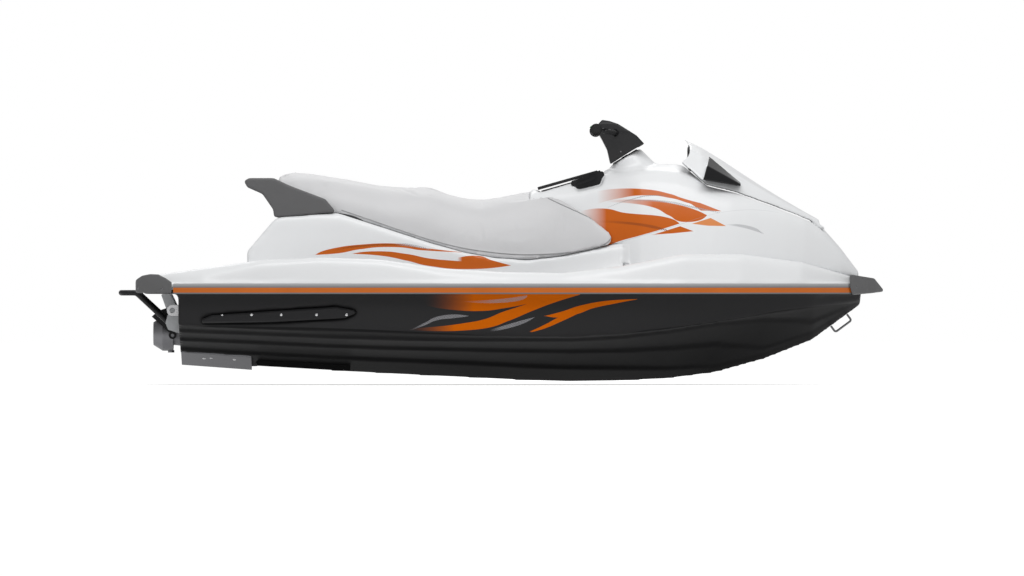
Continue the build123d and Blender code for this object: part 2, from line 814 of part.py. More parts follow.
with BuildPart() as engine_bay:
    with BuildSketch(Plane.XY.offset(ENGINE_Z)):
        with Locations((ENGINE_X, 0)):
            Rectangle(ENGINE_LENGTH + 2 * BAY_ROOM, ENGINE_WIDTH + 2 * BAY_ROOM)
    extrude(amount=ENGINE_HEIGHT + BAY_ROOM)

# The part of the deck that reaches down inside the hull
with BuildPart() as deck_plug:
    with BuildSketch(Plane.XY.offset(level(PLUG_FLOOR_SHARE))):
        with Locations(((station(PLUG_START_SHARE) + station(PLUG_END_SHARE)) / 2, 0)):
            Rectangle(
                station(PLUG_END_SHARE) - station(PLUG_START_SHARE),
                2 * abreast(PLUG_SIDE_SHARE),
            )
    extrude(amount=JOIN_Z - level(PLUG_FLOOR_SHARE))

# Sponson seats: a tilted plane against each hull side
SPONSON_AFT_SHARES = (0.0884, 0.870)
SPONSON_AFT = (station(SPONSON_AFT_SHARES[0]), abreast(SPONSON_AFT_SHARES[1]))
SPONSON_FORE_SHARES = (0.2990, 0.915)
SPONSON_FORE = (station(SPONSON_FORE_SHARES[0]), abreast(SPONSON_FORE_SHARES[1]))


def sponson_plane(side):
    """The plane of the pocket's floor, with x forward, y up and its normal outboard."""
    run = Vector(SPONSON_FORE[0] - SPONSON_AFT[0], side * (SPONSON_FORE[1] - SPONSON_AFT[1]), 0)
    aft = Vector(SPONSON_AFT[0], side * SPONSON_AFT[1], 0)
    origin = aft - run * (SPONSON_AFT[0] / run.X)
    forward = run.normalized()
    if side < 0:
        return Plane(origin=origin, x_dir=forward, z_dir=forward.cross(Vector(0, 0, 1)))
    return Plane(origin=origin, x_dir=-forward, z_dir=Vector(0, 0, 1).cross(forward))


def sponson_points(side):
    """The sponson's outline in the plane of its pocket."""
    turn = 1 if side < 0 else -1
    return [(turn * station(a), level(b)) for a, b in SPONSON_SIDE_SHARES]


def sponson_body(side, grow, outward, edge):
    """A solid on the pocket's floor, as far outboard as asked."""
    with BuildPart() as body:
        with BuildSketch(sponson_plane(side).offset(-SPONSON_FLOOR)):
            with BuildLine():
                FilletPolyline(*sponson_points(side), radius=SPONSON_ROUNDING, close=True)
            make_face()
            if grow:
                offset(amount=grow, mode=Mode.REPLACE)
        extrude(amount=outward)
        if edge:
            outer = body.faces().sort_by(Axis.Y)[-1 if side > 0 else 0]
            chamfer(outer.edges(), edge)
    return body.part


# Everything of the jet drive turns or lies about one line
JET_AXIS = Axis((0, 0, JET_Z), (1, 0, 0))


def jet_ring(profile):
    """A body turned about the jet's axis from points given as place and radius."""
    with BuildPart() as body:
        with BuildSketch(side_plane()):
            with BuildLine():
                Polyline(*[(x, JET_Z + radius) for x, radius in profile], close=True)
            make_face()
        revolve(axis=JET_AXIS)
    return body.part


def jet_cylinder(radius, start, length):
    """A plain cylinder on the jet's axis."""
    return jet_ring([(start, 0), (start + length, 0), (start + length, radius), (start, radius)])


IMPELLER_START = PUMP_REAR_X + STATOR_LENGTH + IMPELLER_ROOM
IMPELLER_TIP = PUMP_BORE - IMPELLER_TIP_ROOM
SHAFT_END_X = IMPELLER_START + IMPELLER_LENGTH + SHAFT_LENGTH

# Hull
HULL_ROWS = 15
hull_loft = section_loft(HULL_SECTION_SHARES, hull_half, HULL_ROWS)
SHAFT_BORE_DEPTH = 90.0
with BuildPart() as hull:
    add(hull_loft)
    add(tunnel_room.part, mode=Mode.SUBTRACT)
    add(duct_room.part, mode=Mode.SUBTRACT)
    add(ride_plate.part, mode=Mode.SUBTRACT)
    for side in (1, -1):
        add(sponson_body(side, 0, BEAM / 4, 0), mode=Mode.SUBTRACT)
    add(jet_cylinder(SHAFT_RADIUS + PIN_FIT, SHAFT_END_X - SHAFT_BORE_DEPTH,
                     SHAFT_BORE_DEPTH + MOVE_GAP), mode=Mode.SUBTRACT)
    with BuildSketch(Plane.XY.offset(JOIN_Z - FLANGE_HULL_HEIGHT)):
        with BuildLine():
            plan_outline()
        make_face()
    extrude(amount=FLANGE_HULL_HEIGHT)
    add(deck_plug.part, mode=Mode.SUBTRACT)
    add(engine_bay.part, mode=Mode.SUBTRACT)
hull.part.label = "hull"

# Sponsons
sponsons = {}
for name, side in (("sponson_port", 1), ("sponson_starboard", -1)):
    with BuildPart() as sponson:
        add(sponson_body(side, -SPONSON_EDGE, SPONSON_FLOOR + SPONSON_STANDOUT, SPONSON_CHAMFER))
    sponson.part.label = name
    sponsons[name] = sponson.part

# Front cowl and its cutting bodies
seat_room = side_slab(SEAT_LINE_SHARES, SEAT_LINE_ROUNDING, 0, True)
seat_floor = side_slab(SEAT_LINE_SHARES, SEAT_LINE_ROUNDING, SEAT_GAP, False)
hood_room = side_slab(HOOD_LINE_SHARES, HOOD_ROOM, -HOOD_ROOM, True)
hood_floor = side_slab(HOOD_LINE_SHARES, HOOD_ROOM, 0, False)
COWL_ROWS = 19
cowl_loft = section_loft(COWL_SECTION_SHARES, cowl_half, COWL_ROWS)
cowl_with_gap = section_loft(COWL_SECTION_SHARES, grown_cowl_half, COWL_ROWS)

# Steering axis: out of the console, leaning aft
lean = math.radians(STEER_LEAN)
head_point = side_point(*STEER_HEAD_SHARES)
head_plane = Plane(
    origin=(head_point[0], 0, head_point[1]),
    x_dir=(0, 1, 0),
    z_dir=(-math.sin(lean), 0, math.cos(lean)),
)

# Footwells
WELL_HEIGHT = HEIGHT / 2
with BuildPart() as footwells:
    with BuildSketch(side_plane()):
        with BuildLine():
            FilletPolyline(
                (station(WELL_START_SHARE) - WELL_RAMP, level(WELL_FLOOR_SHARE) + WELL_HEIGHT),
                (station(WELL_START_SHARE) - WELL_RAMP, level(WELL_RAMP_SHARE)),
                (station(WELL_START_SHARE), level(WELL_FLOOR_SHARE)),
                (station(WELL_END_SHARE), level(WELL_FLOOR_SHARE)),
                (station(WELL_END_SHARE), level(WELL_FLOOR_SHARE) + WELL_HEIGHT),
                radius=[WELL_ROUNDING, WELL_ROUNDING, WELL_ROUNDING, WELL_ROUNDING, WELL_ROUNDING],
                close=True,
            )
        make_face()
    extrude(amount=abreast(WELL_OUTER_SHARE), both=True)
    with BuildSketch(Plane.XY.offset(level(0))):
        Rectangle(2 * LENGTH, 2 * abreast(WELL_INNER_SHARE))
    extrude(amount=HEIGHT, mode=Mode.SUBTRACT)

# Deck with its gunwales and the seat pedestal
with BuildPart() as deck:
    add(section_loft(DECK_SECTION_SHARES, deck_half))
    with BuildSketch(Plane.XY.offset(JOIN_Z)):
        with BuildLine():
            plan_outline()
        make_face()
    extrude(amount=FLANGE_DECK_HEIGHT)
    add(deck_plug.part)
    add(footwells.part, mode=Mode.SUBTRACT)
    add(section_loft(PEDESTAL_SECTION_SHARES, pedestal_half))
    add(seat_room, mode=Mode.SUBTRACT)
    add(engine_bay.part, mode=Mode.SUBTRACT)
deck.part.label = "deck"


# Cutting body round the console's glove box, square to the slope of its lid
hinge_point = side_point(*GLOVE_HINGE_SHARES)
rear_point = side_point(*GLOVE_REAR_SHARES)
GLOVE_LENGTH = math.hypot(hinge_point[0] - rear_point[0], hinge_point[1] - rear_point[1])
glove_slope = Vector(hinge_point[0] - rear_point[0], 0, hinge_point[1] - rear_point[1]).normalized()
glove_plane = Plane(
    origin=(rear_point[0], 0, rear_point[1]),
    x_dir=glove_slope,
    z_dir=glove_slope.cross(Vector(0, 1, 0)),
)


def glove_box_body(start, stop, half_width, low, high):
    """A block in the lid's frame: along its slope, across, and below or above its top."""
    with BuildPart() as body:
        with BuildSketch(glove_plane.offset(low)):
            with Locations(((start + stop) / 2, 0)):
                Rectangle(stop - start, 2 * half_width)
        extrude(amount=high - low)
    return body.part


GLOVE_PIN_RADIUS = 4.0
GLOVE_KNUCKLE = 7.0
GLOVE_KNUCKLE_LENGTH = 60.0
GLOVE_PIN_DROP = 16.0
glove_pin_x = GLOVE_LENGTH - GLOVE_KNUCKLE
glove_pin_z = -GLOVE_PIN_DROP
GLOVE_TUB_HALF = GLOVE_HALF_WIDTH - GLOVE_RIM
glove_pin_spot = glove_plane.from_local_coords((glove_pin_x, 0, glove_pin_z))
glove_pin_place = (glove_pin_spot.X, glove_pin_spot.Z)


def glove_cylinder(radius, half_length):
    """A cylinder about the lid's hinge axis."""
    with BuildPart() as body:
        with BuildSketch(side_plane()):
            with Locations(glove_pin_place):
                Circle(radius)
        extrude(amount=half_length, both=True)
    return body.part


# Storage bin, as its outer block and its inside
def bin_block(wall, floor):
    """The bin's block, inset by a wall, standing on a floor height."""
    with BuildPart() as body:
        with BuildSketch(Plane.XY.offset(floor)):
            with Locations(((station(BIN_START_SHARE) + station(BIN_END_SHARE)) / 2, 0)):
                RectangleRounded(
                    station(BIN_END_SHARE) - station(BIN_START_SHARE) - 2 * wall,
                    2 * BIN_HALF_WIDTH - 2 * wall,
                    BIN_ROUNDING - wall,
                )
        extrude(amount=HEIGHT)
    return body.part


BIN_ROUNDING = 40.0
bin_outside = bin_block(0, level(BIN_FLOOR_SHARE))

# Steering head on the console
with BuildPart() as steering_head:
    with BuildSketch(head_plane):
        Circle(HEAD_TOP_RADIUS)
    with BuildSketch(head_plane.offset(-HEAD_DEPTH)):
        Circle(HEAD_FOOT_RADIUS)
    loft()

with BuildPart() as column_bore:
    with BuildSketch(head_plane.offset(-COLUMN_DEPTH)):
        Circle(COLUMN_RADIUS + PIN_FIT)
    extrude(amount=COLUMN_DEPTH + OVERRUN)

# Hood hinge: two knuckles on one pin, in pockets of the cowl
HOOD_PIN_RADIUS = 4.0
HOOD_KNUCKLE = 9.0
HOOD_KNUCKLE_WIDTH = 24.0
HOOD_KNUCKLE_Y = 52.0
hood_hinge = side_point(*HOOD_HINGE_SHARES)
HOOD_ARM_REACH = 46.0


def hood_cylinder(radius, start, stop):
    """A cylinder about the hood's hinge axis, between two places across."""
    with BuildPart() as body:
        with BuildSketch(side_plane(-stop)):
            with Locations(hood_hinge):
                Circle(radius)
        extrude(amount=stop - start)
    return body.part


def hood_pocket(side):
    """Room in the cowl for one knuckle and its arm."""
    with BuildPart() as body:
        with BuildSketch(Plane.XY.offset(hood_hinge[1] - HOOD_KNUCKLE - MOVE_GAP)):
            with Locations((hood_hinge[0] - HOOD_ARM_REACH / 2 + MOVE_GAP, side * HOOD_KNUCKLE_Y)):
                Rectangle(
                    HOOD_ARM_REACH + 2 * HOOD_KNUCKLE + MOVE_GAP,
                    HOOD_KNUCKLE_WIDTH + 2 * MOVE_GAP,
                )
        extrude(amount=HEIGHT)
    return body.part


# Recess for the shift lever in the starboard side of the console
RECESS_FLOOR = 108.0
shift_recess = side_solid(RECESS_SIDE_SHARES, SHIFT_RADIUS, -BEAM / 2, -RECESS_FLOOR)

HOOD_PIN_HALF = HOOD_KNUCKLE_Y + HOOD_KNUCKLE_WIDTH
with BuildPart() as cowl:
    add(cowl_loft)
    add(hood_room, mode=Mode.SUBTRACT)
    add(steering_head.part)
    add(deck.part, mode=Mode.SUBTRACT)
    add(column_bore.part, mode=Mode.SUBTRACT)
    add(shift_recess, mode=Mode.SUBTRACT)
    add(bin_outside, mode=Mode.SUBTRACT)
    add(
        glove_box_body(-MOVE_GAP, GLOVE_LENGTH + MOVE_GAP, GLOVE_HALF_WIDTH + MOVE_GAP,
                       -GLOVE_LID_THICKNESS - GLOVE_KNUCKLE, GLOVE_DEPTH),
        mode=Mode.SUBTRACT,
    )
    add(
        glove_box_body(GLOVE_RIM, GLOVE_LENGTH - 2 * GLOVE_RIM, GLOVE_TUB_HALF,
                       -GLOVE_DEPTH, GLOVE_DEPTH),
        mode=Mode.SUBTRACT,
    )
    add(glove_cylinder(GLOVE_PIN_RADIUS + PIN_FIT, GLOVE_HALF_WIDTH + 2 * MOVE_GAP + SEAT_GAP),
        mode=Mode.SUBTRACT)
    add(glove_cylinder(GLOVE_KNUCKLE + MOVE_GAP, GLOVE_KNUCKLE_LENGTH + MOVE_GAP),
        mode=Mode.SUBTRACT)
    for side in (1, -1):
        add(hood_pocket(side), mode=Mode.SUBTRACT)
    add(hood_cylinder(HOOD_PIN_RADIUS, -HOOD_PIN_HALF, HOOD_PIN_HALF), mode=Mode.SUBTRACT)
cowl.part.label = "cowl"

with BuildPart() as deck_final:
    add(deck.part)
    add(bin_outside, mode=Mode.SUBTRACT)
deck = deck_final
deck.part.label = "deck"

# Tub of the glove box, under its lid
with BuildPart() as glove_box:
    add(glove_box_body(GLOVE_RIM, GLOVE_LENGTH - 2 * GLOVE_RIM, GLOVE_TUB_HALF,
                       -GLOVE_DEPTH, -GLOVE_LID_THICKNESS - GLOVE_KNUCKLE))
    add(
        glove_box_body(GLOVE_RIM + GLOVE_WALL, GLOVE_LENGTH - 2 * GLOVE_RIM - GLOVE_WALL,
                       GLOVE_TUB_HALF - GLOVE_WALL, -GLOVE_DEPTH + GLOVE_WALL, GLOVE_DEPTH),
        mode=Mode.SUBTRACT,
    )
glove_box.part.label = "glove_box"

# Lid of the glove box with its hinge knuckle
with BuildPart() as glove_lid:
    add(glove_box_body(0, GLOVE_LENGTH - 2 * GLOVE_KNUCKLE - MOVE_GAP, GLOVE_HALF_WIDTH,
                       -GLOVE_LID_THICKNESS, 0))
    add(glove_box_body(0, glove_pin_x, GLOVE_KNUCKLE_LENGTH,
                       -GLOVE_LID_THICKNESS, -GLOVE_KNUCKLE / 2))
    add(glove_cylinder(GLOVE_KNUCKLE, GLOVE_KNUCKLE_LENGTH))
    add(glove_cylinder(GLOVE_PIN_RADIUS + PIN_FIT, GLOVE_HALF_WIDTH), mode=Mode.SUBTRACT)
glove_lid.part.label = "glove_lid"

with BuildPart() as glove_pin:
    add(glove_cylinder(GLOVE_PIN_RADIUS, GLOVE_HALF_WIDTH + 2 * MOVE_GAP))
glove_pin.part.label = "glove_hinge_pin"

# Storage bin under the hood
with BuildPart() as storage_bin:
    add(bin_outside)
    add(bin_block(BIN_WALL, level(BIN_FLOOR_SHARE) + BIN_WALL), mode=Mode.SUBTRACT)
    add(hood_room, mode=Mode.SUBTRACT)
storage_bin.part.label = "storage_bin"

# Hood: a moulding open below and behind, solid at its nose
HOOD_SCOOP_SHARES = (0.7216, 0.8841)
HOOD_SCOOP_RADIUS = 56.0
with BuildPart() as hood_scoop:
    with BuildSketch(side_plane()):
        with Locations(side_point(*HOOD_SCOOP_SHARES)):
            Circle(HOOD_SCOOP_RADIUS)
    extrude(amount=BEAM / 2, both=True)

HOOD_ROWS = 8
hood_inside = section_loft(HOOD_SECTION_SHARES[:-1], hood_inner_half, HOOD_ROWS - 1)
with BuildPart() as hood:
    add(section_loft(HOOD_SECTION_SHARES, hood_half, HOOD_ROWS))
    add(hood_inside, mode=Mode.SUBTRACT)
    add(hood_floor, mode=Mode.SUBTRACT)
    add(hood_scoop.part, mode=Mode.SUBTRACT)
    for side in (1, -1):
        start = side * HOOD_KNUCKLE_Y - HOOD_KNUCKLE_WIDTH / 2
        stop = side * HOOD_KNUCKLE_Y + HOOD_KNUCKLE_WIDTH / 2
        with BuildSketch(side_plane(-stop)):
            with BuildLine():
                Polyline(
                    (hood_hinge[0], hood_hinge[1] - HOOD_KNUCKLE),
                    (hood_hinge[0], hood_hinge[1] + HOOD_KNUCKLE),
                    (hood_hinge[0] - HOOD_ARM_REACH, hood_hinge[1] + 5 * HOOD_KNUCKLE),
                    (hood_hinge[0] - HOOD_ARM_REACH, hood_hinge[1] + HOOD_KNUCKLE),
                    close=True,
                )
            make_face()
        extrude(amount=stop - start)
        add(hood_cylinder(HOOD_KNUCKLE, start, stop))
    add(hood_cylinder(HOOD_PIN_RADIUS + PIN_FIT, -BEAM, BEAM), mode=Mode.SUBTRACT)
hood.part.label = "hood"

with BuildPart() as hood_pin:
    add(hood_cylinder(HOOD_PIN_RADIUS, -HOOD_PIN_HALF, HOOD_PIN_HALF))
hood_pin.part.label = "hood_hinge_pin"

# Instrument panel inside the rear of the hood
PANEL_START_SHARE = 0.7380
PANEL_THICKNESS = 10.0


def panel_half(row):
    """The panel's section, just inside the hood's moulding."""
    return hood_half(row, HOOD_WALL + SEAT_GAP)


with BuildPart() as meter_panel:
    add(section_loft(HOOD_SECTION_SHARES[:-1], panel_half, HOOD_ROWS - 1))
    add(hood_floor, mode=Mode.SUBTRACT)
    with BuildSketch(Plane.YZ.offset(station(PANEL_START_SHARE))):
        Rectangle(BEAM, 2 * HEIGHT)
    extrude(amount=PANEL_THICKNESS, mode=Mode.INTERSECT)
meter_panel.part.label = "meter_panel"

# Mirrors, each a tapering housing with its glass let into the rear face
mirrors = {}
hood_solid = section_loft(HOOD_SECTION_SHARES, hood_half, HOOD_ROWS)
mirror_foot = level(MIRROR_FOOT_SHARE)
mirror_lean = math.radians(MIRROR_LEAN)
mirror_plane = Plane(
    origin=(station(MIRROR_REAR_SHARE), 0, mirror_foot),
    x_dir=(0, 1, 0),
    z_dir=(math.cos(mirror_lean), 0, -math.sin(mirror_lean)),
)


def mirror_face(side, shares, foot):
    """A mirror's outline on a plane whose origin is a height above the frame's."""
    return [(side * abreast(a), level(b) - foot) for a, b in shares]


for side, word in ((1, "port"), (-1, "starboard")):
    with BuildPart() as glass_room:
        with BuildSketch(mirror_plane):
            with BuildLine():
                Polyline(*mirror_face(side, MIRROR_FACE_SHARES, mirror_foot), close=True)
            make_face()
            offset(amount=-MIRROR_RIM, kind=Kind.INTERSECTION, mode=Mode.REPLACE)
        extrude(amount=MIRROR_GLASS)
    with BuildPart() as mirror_housing:
        for plane, face, foot in (
            (mirror_plane, MIRROR_FACE_SHARES, mirror_foot),
            (Plane.YZ.offset(station(MIRROR_TIP_SHARE)), MIRROR_TIP_FACE_SHARES, 0),
        ):
            with BuildSketch(plane):
                with BuildLine():
                    Polyline(*mirror_face(side, face, foot), close=True)
                make_face()
        loft(ruled=True)
        add(glass_room.part, mode=Mode.SUBTRACT)
        add(hood_solid, mode=Mode.SUBTRACT)
    with BuildPart() as glass:
        add(glass_room.part)
        add(hood_solid, mode=Mode.SUBTRACT)
    mirrors["mirror_" + word] = mirror_housing.part
    mirrors["mirror_glass_" + word] = glass.part

# Grab handle
HANDLE_ARM_Y = HANDLE_HALF_WIDTH - HANDLE_ARM
HANDLE_REAR_X = station(HANDLE_SIDE_SHARES[0][0])
with BuildPart() as grab_handle:
    add(side_solid(HANDLE_SIDE_SHARES, HANDLE_ROUNDING, -HANDLE_HALF_WIDTH, HANDLE_HALF_WIDTH))
    with BuildSketch(Plane.XY.offset(level(HANDLE_FLOOR_SHARE))):
        with Locations((HANDLE_REAR_X + HANDLE_BAR_DEPTH + BEAM / 2, 0)):
            Rectangle(BEAM, 2 * HANDLE_ARM_Y)
    extrude(amount=HEIGHT, mode=Mode.SUBTRACT)
    add(seat_floor, mode=Mode.SUBTRACT)
grab_handle.part.label = "grab_handle"

with BuildPart() as handle_room:
    add(side_solid(HANDLE_SIDE_SHARES, HANDLE_ROUNDING, -BEAM, BEAM, SEAT_GAP))
    with BuildSketch(Plane.XY.offset(level(HANDLE_FLOOR_SHARE))):
        Rectangle(2 * LENGTH, 2 * (HANDLE_ARM_Y - SEAT_GAP))
    extrude(amount=HEIGHT, mode=Mode.SUBTRACT)

# Seat
SEAT_ROWS = 21
with BuildPart() as seat_front:
    front = [side_point(a, b) for a, b in SEAT_FRONT_SHARES]
    with BuildSketch(side_plane()):
        with BuildLine():
            line = FilletPolyline(*front, radius=SEAT_FRONT_ROUNDING)
            Polyline(
                line @ 1,
                (station(SEAT_ROOM_SHARE), front[-1][1]),
                (station(SEAT_ROOM_SHARE), level(1)),
                (front[0][0], level(1)),
                line @ 0,
            )
        make_face()
    extrude(amount=BEAM, both=True)

with BuildPart() as seat:
    add(section_loft(SEAT_SECTION_SHARES, seat_half, SEAT_ROWS))
    add(seat_front.part, mode=Mode.SUBTRACT)
    add(seat_floor, mode=Mode.SUBTRACT)
    add(cowl_with_gap, mode=Mode.SUBTRACT)
    add(handle_room.part, mode=Mode.SUBTRACT)
seat.part.label = "seat"

# Rub rail and its stripe, on both sides
RAIL_Z = JOIN_Z - FLANGE_HULL_HEIGHT
RAIL_HEIGHT = FLANGE_HULL_HEIGHT + FLANGE_DECK_HEIGHT
STRIPE_Z = RAIL_Z + STRIPE_RISE
rails = {}


def rail_strip(side, inner, outer, low, height, gap=0):
    """A band round one side of the join, between two offsets of its outline."""
    start = station(RAIL_START_SHARE) - gap
    stop = station(RAIL_END_SHARE) + gap
    with BuildPart() as band:
        with BuildSketch(Plane.XY.offset(low)):
            with BuildLine():
                plan_outline(outer)
            make_face()
            with BuildLine():
                plan_outline(inner)
            make_face(mode=Mode.SUBTRACT)
            with Locations(((start + stop) / 2, side * BEAM / 2)):
                Rectangle(stop - start, BEAM, mode=Mode.INTERSECT)
        extrude(amount=height)
    return band.part


def rail_room(side):
    """The room that a neighbour leaves free round the rub rail."""
    return rail_strip(side, 0, RAIL_WIDTH + SEAT_GAP, RAIL_Z - SEAT_GAP,
                      RAIL_HEIGHT + 2 * SEAT_GAP, SEAT_GAP)


for side, word in ((1, "port"), (-1, "starboard")):
    with BuildPart() as rail:
        add(rail_strip(side, SEAT_GAP, RAIL_WIDTH, RAIL_Z, RAIL_HEIGHT))
        add(
            rail_strip(side, RAIL_WIDTH - STRIPE_INSET, 2 * RAIL_WIDTH, STRIPE_Z, STRIPE_HEIGHT),
            mode=Mode.SUBTRACT,
        )
    rail.part.label = "rail_" + word
    rails["rail_" + word] = rail.part
    with BuildPart() as stripe:
        add(rail_strip(side, RAIL_WIDTH - STRIPE_INSET, RAIL_WIDTH, STRIPE_Z, STRIPE_HEIGHT))
    stripe.part.label = "stripe_" + word
    rails["stripe_" + word] = stripe.part

# Footwell mats and the boarding mat
mat_start = station(MAT_START_SHARE)
mat_end = station(MAT_END_SHARE)
mat_inner = abreast(MAT_INNER_SHARE)
mat_outer = abreast(MAT_OUTER_SHARE)
boarding_start = station(BOARDING_START_SHARE)
boarding_end = station(BOARDING_END_SHARE)
mats = {}
for side, word in ((1, "port"), (-1, "starboard")):
    with BuildPart() as mat:
        with BuildSketch(Plane.XY.offset(level(WELL_FLOOR_SHARE))):
            with Locations(
                ((mat_start + mat_end) / 2, side * (mat_inner + mat_outer) / 2)
            ):
                RectangleRounded(
                    mat_end - mat_start, mat_outer - mat_inner, MAT_MARGIN
                )
        extrude(amount=MAT_THICKNESS)
    mat.part.label = "footwell_mat_" + word
    mats["footwell_mat_" + word] = mat.part

with BuildPart() as boarding_mat:
    with BuildSketch(Plane.XY.offset(level(BOARDING_LOW_SHARE))):
        with Locations(((boarding_start + boarding_end) / 2, 0)):
            RectangleRounded(boarding_end - boarding_start, 2 * abreast(BOARDING_HALF_SHARE), MAT_MARGIN)
    extrude(amount=level(BOARDING_TOP_SHARE) - level(BOARDING_LOW_SHARE) + MAT_THICKNESS)
    add(deck.part, mode=Mode.SUBTRACT)
boarding_mat.part.label = "boarding_mat"

def cross_cylinder(place, radius, start, stop):
    """A cylinder that lies across the boat at a side-view place."""
    with BuildPart() as body:
        with BuildSketch(side_plane(-stop)):
            with Locations(place):
                Circle(radius)
        extrude(amount=stop - start)
    return body.part


# Pump housing with its stator vanes
PUMP_OUTER = PUMP_BORE + PUMP_WALL
with BuildPart() as jet_pump:
    add(jet_ring([
        (PUMP_REAR_X, PUMP_BORE),
        (PUMP_FRONT_X, PUMP_BORE),
        (PUMP_FRONT_X, TUNNEL_RADIUS - SEAT_GAP),
        (PUMP_FRONT_X - PUMP_FLANGE, TUNNEL_RADIUS - SEAT_GAP),
        (PUMP_FRONT_X - PUMP_FLANGE, PUMP_OUTER),
        (PUMP_REAR_X, PUMP_OUTER),
    ]))
    add(jet_cylinder(STATOR_HUB, PUMP_REAR_X, STATOR_LENGTH))
    for number in range(STATOR_VANES):
        turn = 360 / STATOR_VANES * number
        vane_plane = Plane(origin=(PUMP_REAR_X, 0, JET_Z), x_dir=(1, 0, 0), z_dir=(0, 0, 1))
        vane_plane = vane_plane.rotated((turn, 0, 0))
        with BuildSketch(vane_plane.offset(STATOR_HUB - VANE_THICKNESS)):
            with Locations((STATOR_LENGTH / 2, 0)):
                Rectangle(STATOR_LENGTH - VANE_THICKNESS, VANE_THICKNESS)
        extrude(amount=PUMP_BORE + PUMP_WALL / 2 - STATOR_HUB + VANE_THICKNESS)
jet_pump.part.label = "jet_pump"

# Impeller on its shaft
BLADE_PITCH = 38.0
BLADE_THICKNESS = 6.0
BLADE_CHORD = 64.0
with BuildPart() as impeller:
    for number in range(IMPELLER_BLADES):
        turn = 360 / IMPELLER_BLADES * number
        blade_plane = Plane(
            origin=(IMPELLER_START + IMPELLER_LENGTH / 2, 0, JET_Z), x_dir=(1, 0, 0), z_dir=(0, 0, 1)
        )
        blade_plane = blade_plane.rotated((turn, 0, 0))
        with BuildSketch(blade_plane.offset(IMPELLER_HUB / 2)):
            Rectangle(BLADE_CHORD, BLADE_THICKNESS, rotation=BLADE_PITCH)
        extrude(amount=PUMP_BORE)
    add(jet_cylinder(IMPELLER_TIP, IMPELLER_START - IMPELLER_LENGTH, 3 * IMPELLER_LENGTH),
        mode=Mode.INTERSECT)
    add(jet_cylinder(IMPELLER_HUB, IMPELLER_START, IMPELLER_LENGTH))
    add(jet_cylinder(SHAFT_RADIUS, IMPELLER_START, IMPELLER_LENGTH + SHAFT_LENGTH))
impeller.part.label = "impeller"

# Fixed discharge nozzle with pins for the steering nozzle and ears for the gate
gate_pivot = side_point(*GATE_PIVOT_SHARES)
NOZZLE_FLANGE = 12.0
with BuildPart() as discharge_nozzle:
    add(jet_ring([
        (PUMP_REAR_X, PUMP_OUTER - PUMP_WALL),
        (NOZZLE_NECK_X, NOZZLE_NECK_RADIUS - NOZZLE_WALL),
        (NOZZLE_TIP_X, NOZZLE_TIP_RADIUS - NOZZLE_WALL),
        (NOZZLE_TIP_X, NOZZLE_TIP_RADIUS),
        (NOZZLE_NECK_X, NOZZLE_NECK_RADIUS),
        (PUMP_REAR_X - NOZZLE_FLANGE, PUMP_OUTER),
        (PUMP_REAR_X, PUMP_OUTER),
    ]))
    for turn in (1, -1):
        with BuildSketch(Plane.XY.offset(JET_Z + turn * (NOZZLE_TIP_RADIUS - NOZZLE_WALL / 2))):
            with Locations((STEER_PIVOT_X, 0)):
                Circle(PIVOT_PIN_RADIUS)
        extrude(amount=turn * (PIVOT_PIN_REACH - NOZZLE_TIP_RADIUS))
    for side in (1, -1):
        start = min(side * GATE_EAR_INNER, side * GATE_EAR_OUTER)
        stop = max(side * GATE_EAR_INNER, side * GATE_EAR_OUTER)
        with BuildSketch(side_plane(-stop)):
            with BuildLine():
                Polyline(
                    (PUMP_REAR_X - NOZZLE_FLANGE / 2, gate_pivot[1] - GATE_EAR_RADIUS),
                    (PUMP_REAR_X - NOZZLE_FLANGE / 2, gate_pivot[1] + GATE_EAR_RADIUS),
                    (gate_pivot[0], gate_pivot[1] + GATE_EAR_RADIUS),
                    (gate_pivot[0], gate_pivot[1] - GATE_EAR_RADIUS),
                    close=True,
                )
            make_face()
        extrude(amount=stop - start)
        add(cross_cylinder(gate_pivot, GATE_EAR_RADIUS, start, stop))
        pin_start = min(side * GATE_EAR_INNER, side * (GATE_HALF_WIDTH + SEAT_GAP))
        pin_stop = max(side * GATE_EAR_INNER, side * (GATE_HALF_WIDTH + SEAT_GAP))
        add(cross_cylinder(gate_pivot, GATE_PIN_RADIUS, pin_start, pin_stop))
discharge_nozzle.part.label = "discharge_nozzle"

# Steering nozzle, swung by its top and bottom bosses
BOSS_RADIUS = 14.0
BOSS_TOP = PIVOT_PIN_REACH - 2 * PIN_FIT * PIVOT_PIN_RADIUS
STEER_OUTER = STEER_INNER_RADIUS + STEER_WALL
with BuildPart() as steering_nozzle:
    add(jet_ring([
        (STEER_PIVOT_X + STEER_FRONT, STEER_INNER_RADIUS),
        (STEER_PIVOT_X - STEER_BELLY, STEER_INNER_RADIUS),
        (STEER_PIVOT_X - STEER_LENGTH, STEER_TIP_RADIUS),
        (STEER_PIVOT_X - STEER_LENGTH, STEER_TIP_RADIUS + STEER_WALL),
        (STEER_PIVOT_X - STEER_BELLY, STEER_OUTER),
        (STEER_PIVOT_X + STEER_FRONT, STEER_OUTER),
    ]))
    for turn in (1, -1):
        with BuildSketch(Plane.XY.offset(JET_Z + turn * (STEER_OUTER - STEER_WALL / 2))):
            with Locations((STEER_PIVOT_X, 0)):
                Circle(BOSS_RADIUS)
        extrude(amount=turn * (BOSS_TOP - STEER_OUTER + STEER_WALL / 2))
    with BuildSketch(Plane.XY.offset(JET_Z)):
        with Locations((STEER_PIVOT_X, 0)):
            Circle(PIVOT_PIN_RADIUS + PIN_FIT)
    extrude(amount=PIVOT_PIN_REACH, both=True, mode=Mode.SUBTRACT)
steering_nozzle.part.label = "steering_nozzle"


